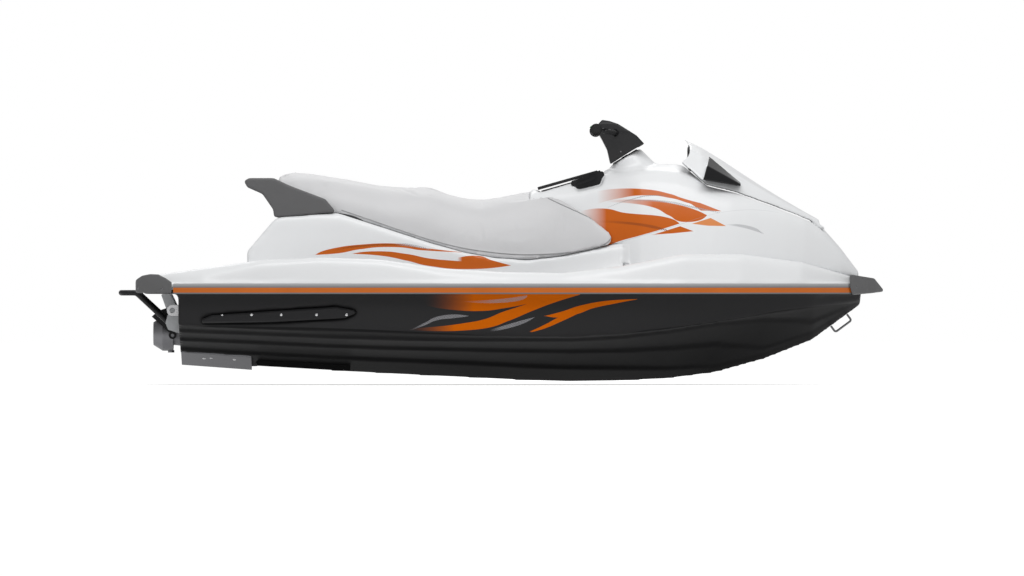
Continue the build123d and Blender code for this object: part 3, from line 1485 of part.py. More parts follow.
def polar(centre, radius, angle):
    """A side-view point at an angle counted up from straight aft."""
    turn = math.radians(angle)
    return (centre[0] - radius * math.cos(turn), centre[1] + radius * math.sin(turn))


# Reverse gate: a curved bucket between two side plates
GATE_OUTER = GATE_RADIUS + GATE_WALL
GATE_MID_ANGLE = (GATE_START_ANGLE + GATE_END_ANGLE) / 2
GATE_BOSS = 16.0
with BuildPart() as reverse_gate:
    with BuildSketch(side_plane()):
        with BuildLine():
            outer = ThreePointArc(
                polar(gate_pivot, GATE_OUTER, GATE_START_ANGLE),
                polar(gate_pivot, GATE_OUTER, GATE_MID_ANGLE),
                polar(gate_pivot, GATE_OUTER, GATE_END_ANGLE),
            )
            inner = ThreePointArc(
                polar(gate_pivot, GATE_RADIUS, GATE_END_ANGLE),
                polar(gate_pivot, GATE_RADIUS, GATE_MID_ANGLE),
                polar(gate_pivot, GATE_RADIUS, GATE_START_ANGLE),
            )
            Line(outer @ 1, inner @ 0)
            Line(inner @ 1, outer @ 0)
        make_face()
    extrude(amount=GATE_HALF_WIDTH, both=True)
    for side in (1, -1):
        start = min(side * GATE_HALF_WIDTH, side * (GATE_HALF_WIDTH - GATE_ARM_THICKNESS))
        stop = start + GATE_ARM_THICKNESS
        with BuildSketch(side_plane(-stop)):
            with BuildLine():
                edge = ThreePointArc(
                    polar(gate_pivot, GATE_OUTER, GATE_START_ANGLE),
                    polar(gate_pivot, GATE_OUTER, GATE_MID_ANGLE),
                    polar(gate_pivot, GATE_OUTER, GATE_END_ANGLE),
                )
                Polyline(edge @ 1, polar(gate_pivot, GATE_BOSS, GATE_END_ANGLE),
                         polar(gate_pivot, GATE_BOSS, GATE_START_ANGLE), edge @ 0)
            make_face()
            with Locations(gate_pivot):
                Circle(GATE_BOSS)
                Circle(GATE_PIN_RADIUS + PIN_FIT, mode=Mode.SUBTRACT)
        extrude(amount=stop - start)
reverse_gate.part.label = "reverse_gate"

# Boarding step: one bent rod with an eye on each end
step_pivot = side_point(*STEP_PIVOT_SHARES)
STEP_EYE = 18.0
STEP_EYE_WIDTH = 30.0
step_run = math.hypot(STEP_BEND_X - step_pivot[0], STEP_BEND_Z - step_pivot[1])
step_start = STEP_EYE / 2 / step_run
step_path_points = [
    (
        step_pivot[0] + (STEP_BEND_X - step_pivot[0]) * step_start,
        STEP_HALF_WIDTH,
        step_pivot[1] + (STEP_BEND_Z - step_pivot[1]) * step_start,
    ),
    (STEP_BEND_X, STEP_HALF_WIDTH, STEP_BEND_Z),
    (STEP_END_X, STEP_HALF_WIDTH, STEP_BEND_Z),
    (STEP_END_X, 0, STEP_BEND_Z),
]
with BuildPart() as boarding_step:
    with BuildLine() as step_path:
        FilletPolyline(*step_path_points, radius=STEP_BEND)
    with BuildSketch(Plane(origin=step_path.line @ 0, z_dir=step_path.line % 0)):
        Circle(STEP_RADIUS)
    sweep(path=step_path.line)
    mirror(about=Plane.XZ)
    for side in (1, -1):
        middle = side * STEP_HALF_WIDTH
        add(cross_cylinder(step_pivot, STEP_EYE, middle - STEP_EYE_WIDTH / 2, middle + STEP_EYE_WIDTH / 2))
        add(
            cross_cylinder(step_pivot, STEP_PIN_RADIUS + PIN_FIT, middle - STEP_EYE_WIDTH,
                           middle + STEP_EYE_WIDTH),
            mode=Mode.SUBTRACT,
        )
boarding_step.part.label = "boarding_step"

# Curved brackets on the transom that carry the step
TRANSOM_X = station(HULL_SECTION_SHARES[0][0])
BRACKET_SIDE_SHARES = (
    (0.0335, 0.3350),
    (0.0460, 0.3350),
    (0.0560, 0.2750),
    (0.0590, 0.2650),
    (0.0590, 0.1850),
    (0.0430, 0.2000),
    (0.0395, 0.2250),
    (0.0430, 0.2600),
)
BRACKET_ROUNDING = 5.0
brackets = {}
for side, word in ((1, "port"), (-1, "starboard")):
    inner = side * (STEP_HALF_WIDTH + STEP_EYE_WIDTH / 2 + PIVOT_PIN_RADIUS)
    outer = inner + side * BRACKET_THICKNESS
    with BuildPart() as bracket:
        add(side_solid(BRACKET_SIDE_SHARES, BRACKET_ROUNDING, min(inner, outer), max(inner, outer)))
        pin_end = side * (STEP_HALF_WIDTH - STEP_EYE_WIDTH / 2 - SEAT_GAP)
        add(cross_cylinder(step_pivot, STEP_PIN_RADIUS, min(pin_end, outer), max(pin_end, outer)))
    bracket.part.label = "step_bracket_" + word
    brackets["step_bracket_" + word] = bracket.part

# Intake grate across the mouth of the duct
with BuildPart() as intake_grate:
    with BuildSketch(Plane.XY.offset(level(0))):
        with Locations(((DUCT_LIP_X + station(GRATE_FRONT_SHARE)) / 2, 0)):
            Rectangle(station(GRATE_FRONT_SHARE) - DUCT_LIP_X, 2 * PUMP_BORE)
            Rectangle(station(GRATE_FRONT_SHARE) - DUCT_LIP_X - 2 * GRATE_FRAME, 2 * PUMP_BORE - GRATE_FRAME,
                      mode=Mode.SUBTRACT)
            with GridLocations(0, 2 * PUMP_BORE / (GRATE_BARS + 1), 1, GRATE_BARS):
                Rectangle(station(GRATE_FRONT_SHARE) - DUCT_LIP_X, GRATE_BAR_WIDTH)
    extrude(amount=HEIGHT / 2)
    with BuildSketch(side_plane()):
        with BuildLine():
            Polyline(
                (DUCT_LIP_X, level(GRATE_Z_SHARES[0])),
                (station(GRATE_FRONT_SHARE), level(GRATE_Z_SHARES[1])),
                (station(GRATE_FRONT_SHARE), level(GRATE_Z_SHARES[1]) + GRATE_THICKNESS),
                (DUCT_LIP_X, level(GRATE_Z_SHARES[0]) + GRATE_THICKNESS),
                close=True,
            )
        make_face()
    extrude(amount=PUMP_BORE, both=True, mode=Mode.INTERSECT)
    add(duct_room.part, mode=Mode.INTERSECT)
intake_grate.part.label = "intake_grate"

# Handlebar, one bent tube on the leaning column
bar_place = side_point(*BAR_SHARES)
BAR_CENTRE_SHARES = (0.6400, 0.9480)
BAR_BEND_Y = 120.0
BAR_STRAIGHT_Y = 225.0
BAR_BEND = 45.0
centre_place = side_point(*BAR_CENTRE_SHARES)
bar_points = [
    (bar_place[0], BAR_HALF_LENGTH, bar_place[1]),
    (bar_place[0], BAR_STRAIGHT_Y, bar_place[1]),
    (centre_place[0], BAR_BEND_Y, centre_place[1]),
    (centre_place[0], -BAR_BEND_Y, centre_place[1]),
    (bar_place[0], -BAR_STRAIGHT_Y, bar_place[1]),
    (bar_place[0], -BAR_HALF_LENGTH, bar_place[1]),
]


def bar_tube(radius):
    """The handlebar's bent tube with a given radius."""
    with BuildPart() as body:
        with BuildLine() as path:
            FilletPolyline(*bar_points, radius=BAR_BEND)
        with BuildSketch(Plane(origin=path.line @ 0, z_dir=path.line % 0)):
            Circle(radius)
        sweep(path=path.line)
    return body.part


with BuildPart() as handlebar:
    add(bar_tube(BAR_RADIUS))
handlebar.part.label = "handlebar"

with BuildPart() as steering_column:
    with BuildSketch(head_plane.offset(-COLUMN_DEPTH)):
        Circle(COLUMN_RADIUS)
    extrude(amount=COLUMN_DEPTH + MOVE_GAP)
steering_column.part.label = "steering_column"

cover_face_half = [(abreast(a), level(b)) for a, b in COVER_FACE_SHARES]
cover_face = cover_face_half + [(-across, up) for across, up in reversed(cover_face_half)]
with BuildPart() as handlebar_cover:
    add(side_solid(COVER_SIDE_SHARES, COVER_ROUNDING, -COVER_HALF_WIDTH, COVER_HALF_WIDTH))
    with BuildSketch(Plane.YZ):
        with BuildLine():
            Polyline(*cover_face, close=True)
        make_face()
    extrude(amount=LENGTH, mode=Mode.INTERSECT)
    with BuildSketch(head_plane.offset(MOVE_GAP)):
        Rectangle(2 * BEAM, 2 * BEAM)
    extrude(amount=-BEAM / 2, mode=Mode.SUBTRACT)
    add(bar_tube(BAR_RADIUS + SEAT_GAP), mode=Mode.SUBTRACT)
handlebar_cover.part.label = "handlebar_cover"

grips = {}
for side, word in ((1, "port"), (-1, "starboard")):
    end = side * BAR_HALF_LENGTH
    start = side * (BAR_HALF_LENGTH - GRIP_LENGTH)
    with BuildPart() as grip:
        add(cross_cylinder(bar_place, GRIP_RADIUS, min(start, end), max(start, end)))
        add(bar_tube(BAR_RADIUS + SEAT_GAP), mode=Mode.SUBTRACT)
    grips["grip_" + word] = grip.part

# Throttle lever on the starboard side, switch housing on the port side
COLLAR_START = BAR_HALF_LENGTH - GRIP_LENGTH - SWITCH_LENGTH
COLLAR_END = BAR_HALF_LENGTH - GRIP_LENGTH - SEAT_GAP
LEVER_COLLAR = 26.0
with BuildPart() as throttle_lever:
    add(cross_cylinder(bar_place, SWITCH_RADIUS, -COLLAR_END, -COLLAR_END + LEVER_COLLAR))
    add(bar_tube(BAR_RADIUS + SEAT_GAP), mode=Mode.SUBTRACT)
    with BuildSketch(Plane.XY.offset(bar_place[1] - LEVER_THICKNESS / 2)):
        with BuildLine():
            FilletPolyline(
                (bar_place[0] + GRIP_RADIUS, -COLLAR_END + LEVER_COLLAR),
                (bar_place[0] + GRIP_RADIUS + LEVER_REACH, -COLLAR_END + LEVER_COLLAR / 2),
                (bar_place[0] + GRIP_RADIUS + LEVER_REACH, -COLLAR_END - LEVER_LENGTH),
                (bar_place[0] + 2 * GRIP_RADIUS, -COLLAR_END - LEVER_LENGTH),
                (bar_place[0] + 2 * GRIP_RADIUS, -COLLAR_END),
                (bar_place[0] + GRIP_RADIUS, -COLLAR_END),
                radius=[0, LEVER_THICKNESS, LEVER_THICKNESS / 3, LEVER_THICKNESS / 3,
                        LEVER_THICKNESS / 2, 0],
                close=True,
            )
        make_face()
    extrude(amount=LEVER_THICKNESS)
throttle_lever.part.label = "throttle_lever"

with BuildPart() as switch_housing:
    add(cross_cylinder(bar_place, SWITCH_RADIUS, COLLAR_START, COLLAR_END))
    add(bar_tube(BAR_RADIUS + SEAT_GAP), mode=Mode.SUBTRACT)
switch_housing.part.label = "switch_housing"

# Shift lever and its panel in the recess
SHIFT_PANEL_THICKNESS = 5.0
with BuildPart() as shift_panel:
    add(side_solid(RECESS_SIDE_SHARES, SHIFT_RADIUS, -RECESS_FLOOR - SHIFT_PANEL_THICKNESS,
                   -RECESS_FLOOR, -SEAT_GAP))
shift_panel.part.label = "shift_panel"

with BuildPart() as shift_lever:
    add(cross_cylinder(side_point(*SHIFT_PIVOT_SHARES), SHIFT_RADIUS,
                       -RECESS_FLOOR - SHIFT_PANEL_THICKNESS - SHIFT_RADIUS,
                       -RECESS_FLOOR - SHIFT_PANEL_THICKNESS))
    with BuildSketch(side_plane(RECESS_FLOOR + SHIFT_PANEL_THICKNESS + SHIFT_RADIUS / 2)):
        with BuildLine():
            Polyline(
                side_point(*SHIFT_LEVER_SHARES[0]),
                side_point(*SHIFT_LEVER_SHARES[1]),
                side_point(*SHIFT_LEVER_SHARES[2]),
                side_point(*SHIFT_LEVER_SHARES[3]),
                close=True,
            )
        make_face()
    extrude(amount=SHIFT_RADIUS)
shift_lever.part.label = "shift_lever"

# Bow bumper, wrapped round the bow and drawn out to a blunt prow
prow_half = [(station(a), abreast(b)) for a, b in PROW_SHARES]
prow = prow_half + [(along, -across) for along, across in reversed(prow_half)]
with BuildPart() as bow_bumper:
    add(side_solid(BOW_BUMPER_SHARES, BOW_BUMPER_ROUNDING, -BEAM / 4, BEAM / 4))
    with BuildSketch(Plane.XY.offset(level(0))):
        with BuildLine():
            plan_outline(RAIL_WIDTH + BOW_BUMPER_WALL)
        make_face()
        with BuildLine():
            Polyline(*prow, close=True)
        make_face()
    extrude(amount=HEIGHT, mode=Mode.INTERSECT)
    add(hull.part, mode=Mode.SUBTRACT)
    add(deck.part, mode=Mode.SUBTRACT)
    add(cowl.part, mode=Mode.SUBTRACT)
    for name in ("rail_port", "rail_starboard", "stripe_port", "stripe_starboard"):
        add(rails[name], mode=Mode.SUBTRACT)
bow_bumper.part.label = "bow_bumper"

# Bow eye, a bent rod in the centre plane
eye_low = side_point(*BOW_EYE_SHARES[0])
eye_high = side_point(*BOW_EYE_SHARES[1])
eye_run = Vector(eye_high[0] - eye_low[0], eye_high[1] - eye_low[1]).normalized()
eye_out = Vector(eye_run.Y, -eye_run.X)


def eye_point(place, out):
    """A point off the stem, a distance out from it."""
    return (place[0] + eye_out.X * out, 0, place[1] + eye_out.Y * out)


with BuildPart() as bow_eye:
    with BuildLine() as eye_path:
        FilletPolyline(
            eye_point(eye_low, -2 * BOW_EYE_STANDOFF),
            eye_point(eye_low, BOW_EYE_STANDOFF),
            eye_point(eye_high, BOW_EYE_STANDOFF),
            eye_point(eye_high, -2 * BOW_EYE_STANDOFF),
            radius=2 * BOW_EYE_RADIUS,
        )
    with BuildSketch(Plane(origin=eye_path.line @ 0, z_dir=eye_path.line % 0)):
        Circle(BOW_EYE_RADIUS)
    sweep(path=eye_path.line)
    add(hull.part, mode=Mode.SUBTRACT)
bow_eye.part.label = "bow_eye"

# Stern corner bumpers and towing eyes
stern_parts = {}
for side, word in ((1, "port"), (-1, "starboard")):
    with BuildPart() as corner:
        with BuildSketch(Plane.XY.offset(level(CORNER_SIDE_SHARES[-1][1]))):
            with BuildLine():
                plan_outline(CORNER_DEPTH)
            make_face()
            with Locations((station(CORNER_REACH_SHARE) - LENGTH / 2 - MOVE_GAP / 2,
                            side * (abreast(CORNER_INNER_SHARE) + BEAM / 2))):
                Rectangle(LENGTH, BEAM, mode=Mode.INTERSECT)
        extrude(amount=CORNER_HEIGHT)
        add(side_solid(CORNER_SIDE_SHARES, CORNER_ROUNDING, -BEAM, BEAM), mode=Mode.INTERSECT)
        add(hull.part, mode=Mode.SUBTRACT)
        add(deck.part, mode=Mode.SUBTRACT)
        add(rail_room(side), mode=Mode.SUBTRACT)
    corner.part.label = "stern_corner_" + word
    stern_parts["stern_corner_" + word] = corner.part
    eye_centre = (TRANSOM_X - EYE_REACH, level(EYE_Z_SHARE))
    with BuildPart() as eye:
        with BuildSketch(side_plane(-side * EYE_Y - EYE_THICKNESS / 2)):
            with Locations(eye_centre):
                Circle(EYE_HEIGHT / 2)
            with Locations((TRANSOM_X - EYE_REACH / 2, eye_centre[1])):
                Rectangle(EYE_REACH, EYE_HEIGHT)
            with Locations(eye_centre):
                Circle(EYE_HOLE, mode=Mode.SUBTRACT)
        extrude(amount=EYE_THICKNESS)
    eye.part.label = "stern_eye_" + word
    stern_parts["stern_eye_" + word] = eye.part

# Fuel filler cap on the port side of the foredeck
with BuildPart() as fuel_cap:
    with BuildSketch(Plane.XY.offset(level(CAP_BASE_SHARE))):
        with Locations((station(CAP_SHARES[0]), abreast(CAP_SHARES[1]))):
            Circle(CAP_RADIUS)
    extrude(amount=level(CAP_TOP_SHARE) - level(CAP_BASE_SHARE))
    add(deck.part, mode=Mode.SUBTRACT)
    add(cowl.part, mode=Mode.SUBTRACT)
fuel_cap.part.label = "fuel_cap"

pieces = [hull, deck, ride_plate, engine_block, cowl, glove_box, glove_lid, glove_pin,
          storage_bin, hood, hood_pin, meter_panel, grab_handle, seat, boarding_mat,
          jet_pump, impeller, discharge_nozzle, steering_nozzle, reverse_gate, boarding_step,
          intake_grate, handlebar, steering_column, handlebar_cover, throttle_lever,
          switch_housing, shift_panel, shift_lever, bow_bumper, bow_eye, fuel_cap]
for piece in pieces:
    export_step(piece.part, "parts/" + piece.part.label + ".step")
for group in (sponsons, rails, mats, mirrors, brackets, grips, stern_parts):
    for name, body in group.items():
        body.label = name
        export_step(body, "parts/" + name + ".step")
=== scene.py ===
"""Looks of a personal watercraft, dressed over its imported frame.

Lengths are in metres in the row's frame: +X to the bow, +Y to port, +Z up,
with the origin on the centreline at the waterline.
"""

import logging
import math
from dataclasses import dataclass
from enum import Enum
from typing import ClassVar

import bmesh
import bpy
from mathutils import Matrix, Vector


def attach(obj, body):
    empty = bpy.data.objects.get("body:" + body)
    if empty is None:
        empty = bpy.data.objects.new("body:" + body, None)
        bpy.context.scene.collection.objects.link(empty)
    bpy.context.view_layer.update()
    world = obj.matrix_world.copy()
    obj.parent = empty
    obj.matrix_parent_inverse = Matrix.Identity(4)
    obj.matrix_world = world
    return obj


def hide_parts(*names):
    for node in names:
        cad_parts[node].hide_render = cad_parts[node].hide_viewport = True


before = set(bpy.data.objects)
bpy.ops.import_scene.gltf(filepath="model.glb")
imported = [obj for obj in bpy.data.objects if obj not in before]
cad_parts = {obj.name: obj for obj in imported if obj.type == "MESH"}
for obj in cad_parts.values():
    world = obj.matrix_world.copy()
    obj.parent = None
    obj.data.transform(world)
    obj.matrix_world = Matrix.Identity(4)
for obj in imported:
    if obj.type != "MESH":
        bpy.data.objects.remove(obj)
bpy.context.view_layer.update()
LOG = logging.getLogger("watercraft")

Point = tuple[float, float, float]
Colour = tuple[float, float, float]

# Where lines that look for the craft's surface start, beside it and beneath it
BESIDE = 0.9
BENEATH = -0.6


class Side(Enum):
    """The two sides of the craft, by the sign of Y."""

    PORT = 1
    STARBOARD = -1

    @property
    def word(self) -> str:
        """The side's name as the nodes spell it."""
        return self.name.lower()


class Body(Enum):
    """The bodies that pieces ride on."""

    CRAFT = "craft"
    HOOD = "hood_body"
    BARS = "steering_bars"


# Shading


class ShaderTree:
    """A material's node tree, with short calls that add and join its nodes."""

    def __init__(self, name: str) -> None:
        """Start an empty material that ends in a principled shader.

        Args:
            name: The material's name.
        """
        self.material = bpy.data.materials.new(name)
        self.material.use_nodes = True
        self.nodes = self.material.node_tree.nodes
        self.links = self.material.node_tree.links
        self.surface = next(n for n in self.nodes if n.type == "BSDF_PRINCIPLED")
        self.place = self.add("ShaderNodeTexCoord").outputs["Object"]

    def add(self, kind: str, **settings: object) -> bpy.types.Node:
        """Add a node and set its properties.

        Args:
            kind: The node's type name.
            **settings: Properties of the node.

        Returns:
            The new node.
        """
        node = self.nodes.new(kind)
        for key, value in settings.items():
            setattr(node, key, value)
        return node

    def feed(self, socket: bpy.types.NodeSocket, value: object) -> None:
        """Join another socket to an input, or write a plain value on it."""
        if isinstance(value, bpy.types.NodeSocket):
            self.links.new(value, socket)
        else:
            socket.default_value = value

    def math(self, operation: str, *values: object, clamp: bool = False) -> bpy.types.NodeSocket:
        """A Math node's result for up to three values."""
        node = self.add("ShaderNodeMath", operation=operation, use_clamp=clamp)
        for socket, value in zip(node.inputs, values):
            self.feed(socket, value)
        return node.outputs[0]

    def around(self, mean: float, spread: float, share: object) -> bpy.types.NodeSocket:
        """A value spread about its mean by a share from 0 to 1."""
        return self.math("MULTIPLY_ADD", share, spread, mean - spread / 2)

    def mix(self, factor: object, low: object, high: object) -> bpy.types.NodeSocket:
        """A colour between two others."""
        node = self.add("ShaderNodeMix", data_type="RGBA")
        self.feed(node.inputs[0], factor)
        self.feed(node.inputs[6], low)
        self.feed(node.inputs[7], high)
        return node.outputs[2]

    def noise(self, scale: float, detail: float = 2.0, stretch: Point = (1, 1, 1)) -> bpy.types.NodeSocket:
        """Noise over the object's own coordinates."""
        node = self.add("ShaderNodeTexNoise")
        self.feed(node.inputs["Vector"], self.stretched(stretch))
        node.inputs["Scale"].default_value = scale
        node.inputs["Detail"].default_value = detail
        return node.outputs[0]

    def cells(self, scale: float, stretch: Point = (1, 1, 1)) -> bpy.types.NodeSocket:
        """Distance to the nearest cell centre, over the object's coordinates."""
        node = self.add("ShaderNodeTexVoronoi")
        self.feed(node.inputs["Vector"], self.stretched(stretch))
        node.inputs["Scale"].default_value = scale
        return node.outputs["Distance"]

    def waves(self, scale: float, axis: str) -> bpy.types.NodeSocket:
        """Straight ribs across one axis."""
        node = self.add("ShaderNodeTexWave", bands_direction=axis)
        self.feed(node.inputs["Vector"], self.place)
        node.inputs["Scale"].default_value = scale
        return node.outputs["Fac"]

    def stretched(self, stretch: Point) -> bpy.types.NodeSocket:
        """The object's coordinates, scaled along each axis."""
        if stretch == (1, 1, 1):
            return self.place
        node = self.add("ShaderNodeMapping")
        self.feed(node.inputs["Vector"], self.place)
        node.inputs["Scale"].default_value = stretch
        return node.outputs[0]

    def axis(self, letter: str) -> bpy.types.NodeSocket:
        """One of the object's coordinates, in metres."""
        node = self.add("ShaderNodeSeparateXYZ")
        self.feed(node.inputs[0], self.place)
        return node.outputs[letter]

    def curve(self, value: object, points: tuple[tuple[float, float], ...],
              sharp: bool = False) -> bpy.types.NodeSocket:
        """A smooth function of a value through given points.

        Args:
            value: The socket to read.
            points: Pairs of value and result, rising in the first.
            sharp: Whether straight lines join the points.

        Returns:
            The function's result.
        """
        xs = [x for x, _ in points]
        ys = [y for _, y in points]
        low_x, high_x, low_y, high_y = xs[0], xs[-1], min(ys), max(ys)
        if high_y == low_y:
            high_y = low_y + 1e-3
        share = self.math("DIVIDE", self.math("SUBTRACT", value, low_x), high_x - low_x, clamp=True)
        node = self.add("ShaderNodeFloatCurve")
        line = node.mapping.curves[0]
        for x, y in points[1:-1]:
            line.points.new((x - low_x) / (high_x - low_x), (y - low_y) / (high_y - low_y))
        line.points[0].location = (0, (ys[0] - low_y) / (high_y - low_y))
        line.points[-1].location = (1, (ys[-1] - low_y) / (high_y - low_y))
        if sharp:
            for point in line.points:
                point.handle_type = "VECTOR"
        node.mapping.update()
        self.feed(node.inputs["Value"], share)
        return self.math("ADD", self.math("MULTIPLY", node.outputs[0], high_y - low_y), low_y)

    def bump(self, height: object, strength: float, distance: float) -> None:
        """Raise the surface's normals by a height."""
        node = self.add("ShaderNodeBump")
        node.inputs["Strength"].default_value = strength
        node.inputs["Distance"].default_value = distance
        self.feed(node.inputs["Height"], height)
        self.feed(self.surface.inputs["Normal"], node.outputs[0])

    def values(self, **sockets: object) -> None:
        """Write plain values or joins on the principled shader's sockets."""
        for name, value in sockets.items():
            self.feed(self.surface.inputs[name.replace("_", " ")], value)


def opaque(colour: Colour) -> tuple[float, float, float, float]:
    """A colour with full alpha."""
    return (*colour, 1)


@dataclass(frozen=True)
class Swoosh:
    """One tapering band of colour in the side view.

    Attributes:
        low: Places along and up of its lower edge.
        high: Places along and up of its upper edge.
        colour: The band's colour.
        fade: Where it is bare and where it has its full colour, along X.
        hatch: Dashes per metre that break it up, or nought for a plain band.
        ease: Power that the fade is raised to.
        sharp: Whether its edges are straight between their places.
    """

    EDGE_GAIN: ClassVar[float] = 900.0
    GAP_SHARE: ClassVar[float] = 0.45

    low: tuple[tuple[float, float], ...]
    high: tuple[tuple[float, float], ...]
    colour: Colour
    fade: tuple[float, float]
    hatch: float = 0.0
    ease: float = 1.0
    sharp: bool = False

    def mask(self, tree: ShaderTree) -> bpy.types.NodeSocket:
        """How much of the band covers a place, from 0 to 1."""
        along, up = tree.axis("X"), tree.axis("Z")
        low = tree.curve(along, self.low, self.sharp)
        high = tree.curve(along, self.high, self.sharp)
        above = tree.math("MULTIPLY", tree.math("SUBTRACT", up, low), self.EDGE_GAIN, clamp=True)
        below = tree.math("MULTIPLY", tree.math("SUBTRACT", high, up), self.EDGE_GAIN, clamp=True)
        ended = tree.math("LESS_THAN", along, self.low[-1][0])
        inside = tree.math("MULTIPLY", tree.math("MULTIPLY", above, below), ended)
        bare, full = self.fade
        fade = tree.math("DIVIDE", tree.math("SUBTRACT", along, bare), full - bare, clamp=True)
        shown = tree.math("MULTIPLY", inside, tree.math("POWER", fade, self.ease))
        if not self.hatch:
            return shown
        lean = tree.math("MULTIPLY", tree.math("ADD", along, up), self.hatch)
        dash = tree.math("GREATER_THAN", tree.math("FRACT", lean), self.GAP_SHARE)
        return tree.math("MULTIPLY", shown, dash)


def swoosh(rows: tuple[Point, ...], colour: Colour, fade: tuple[float, float], hatch: float = 0.0,
           **settings: object) -> Swoosh:
    """A band whose edges share their places along.

    Args:
        rows: Place along, height of the lower edge and height of the upper edge.
        colour: The band's colour.
        fade: Where it is bare and where it has its full colour, along X.
        hatch: Dashes per metre that break it up, or nought for a plain band.
        **settings: The band's other attributes.

    Returns:
        The band.
    """
    low = tuple((along, under) for along, under, _ in rows)
    high = tuple((along, over) for along, _, over in rows)
    return Swoosh(low, high, colour, fade, hatch, **settings)


ORANGE: Colour = (0.64, 0.130, 0.001)
DEEP_ORANGE: Colour = (0.57, 0.112, 0.001)
PALE_ORANGE: Colour = (0.72, 0.26, 0.085)
DARK_ORANGE: Colour = (0.22, 0.045, 0.006)
HATCH_GREY: Colour = (0.36, 0.36, 0.38)
LINE_GREY: Colour = (0.16, 0.16, 0.17)


@dataclass(frozen=True)
class Finish:
    """What a surface is made of.

    Attributes:
        name: The material's name.
        colour: Its ground colour.
    """

    name: str
    colour: Colour

    def shade(self, gain: float = 1.0, lift: float = 0.0) -> tuple[float, float, float, float]:
        """The colour made darker or paler, as a shader colour."""
        return opaque(tuple(min(1.0, c * gain + lift) for c in self.colour))

    def material(self) -> bpy.types.Material:
        """Build the finish."""
        raise NotImplementedError


@dataclass(frozen=True)
class Gelcoat(Finish):
    """Sprayed glossy laminate, with painted bands over it.

    Attributes:
        bands: The painted bands, from the lowest layer up.
        roughness: Roughness of the colour under the coat.
        coat: Weight of the clear coat.
        shine: Specular level of the colour itself.
    """

    CLOUD_SCALE: ClassVar[float] = 3.0
    CLOUD_DIM: ClassVar[float] = 0.95
    COAT_ROUGHNESS: ClassVar[float] = 0.08
    PEEL_SCALE: ClassVar[float] = 260.0
    PEEL_STRENGTH: ClassVar[float] = 0.04
    PEEL_DEPTH: ClassVar[float] = 0.0005

    bands: tuple[Swoosh, ...] = ()
    roughness: float = 0.30
    coat: float = 0.12
    shine: float = 0.28

    def material(self) -> bpy.types.Material:
        """Build the finish."""
        tree = ShaderTree(self.name)
        cloud = tree.noise(self.CLOUD_SCALE)
        colour = tree.mix(cloud, self.shade(self.CLOUD_DIM), self.shade())
        for band in self.bands:
            colour = tree.mix(band.mask(tree), colour, opaque(band.colour))
        tree.values(Base_Color=colour, Roughness=self.roughness, Specular_IOR_Level=self.shine,
                    Coat_Weight=self.coat, Coat_Roughness=self.COAT_ROUGHNESS)
        tree.bump(tree.noise(self.PEEL_SCALE, 1.0), self.PEEL_STRENGTH, self.PEEL_DEPTH)
        return tree.material


@dataclass(frozen=True)
class Moulding(Finish):
    """Moulded plastic or rubber with a fine grain.

    Attributes:
        roughness: Its mean roughness.
        grain: Cells of grain per metre.
        depth: Strength of the grain.
        shine: Specular level.
        pale: The painted highlight: a lighter colour that it fades to going up, where light falls on its top.
        rise: The heights between which the painted highlight fades in.
    """

    WEAR_SCALE: ClassVar[float] = 9.0
    WORN_GAIN: ClassVar[float] = 1.25
    WORN_LIFT: ClassVar[float] = 0.002
    ROUGH_SPREAD: ClassVar[float] = 0.14
    GRAIN_DEPTH: ClassVar[float] = 0.0008

    roughness: float = 0.5
    grain: float = 900.0
    depth: float = 0.25
    shine: float = 0.3
    pale: Colour | None = None
    rise: tuple[float, float] = (0.0, 1.0)

    def material(self) -> bpy.types.Material:
        """Build the finish."""
        tree = ShaderTree(self.name)
        worn = tree.noise(self.WEAR_SCALE, 4.0)
        colour = tree.mix(worn, self.shade(), self.shade(self.WORN_GAIN, self.WORN_LIFT))
        # Painted highlight: the colour lightens going up, standing in for light falling on the top
        if self.pale:
            low, high = self.rise
            share = tree.math("DIVIDE", tree.math("SUBTRACT", tree.axis("Z"), low), high - low, clamp=True)
            colour = tree.mix(share, colour, opaque(self.pale))
        tree.values(
            Base_Color=colour,
            Specular_IOR_Level=self.shine,
            Roughness=tree.around(self.roughness, self.ROUGH_SPREAD, worn),
        )
        tree.bump(tree.cells(self.grain), self.depth, self.GRAIN_DEPTH)
        return tree.material


@dataclass(frozen=True)
class Metal(Finish):
    """Bare metal, cast or drawn.

    Attributes:
        roughness: Its mean roughness.
        scale: Size of its texture, in features per metre.
        stretch: How the texture is drawn out along each axis.
        depth: Strength of the texture.
    """

    DULL_SHARE: ClassVar[float] = 0.8
    ROUGH_SPREAD: ClassVar[float] = 0.2
    TEXTURE_DEPTH: ClassVar[float] = 0.0006

    roughness: float
    scale: float
    stretch: Point
    depth: float

    def material(self) -> bpy.types.Material:
        """Build the finish."""
        tree = ShaderTree(self.name)
        streak = tree.noise(self.scale, 3.0, self.stretch)
        tree.values(
            Base_Color=tree.mix(streak, self.shade(self.DULL_SHARE), self.shade()),
            Metallic=1.0,
            Roughness=tree.around(self.roughness, self.ROUGH_SPREAD, streak),
        )
        tree.bump(streak, self.depth, self.TEXTURE_DEPTH)
        return tree.material


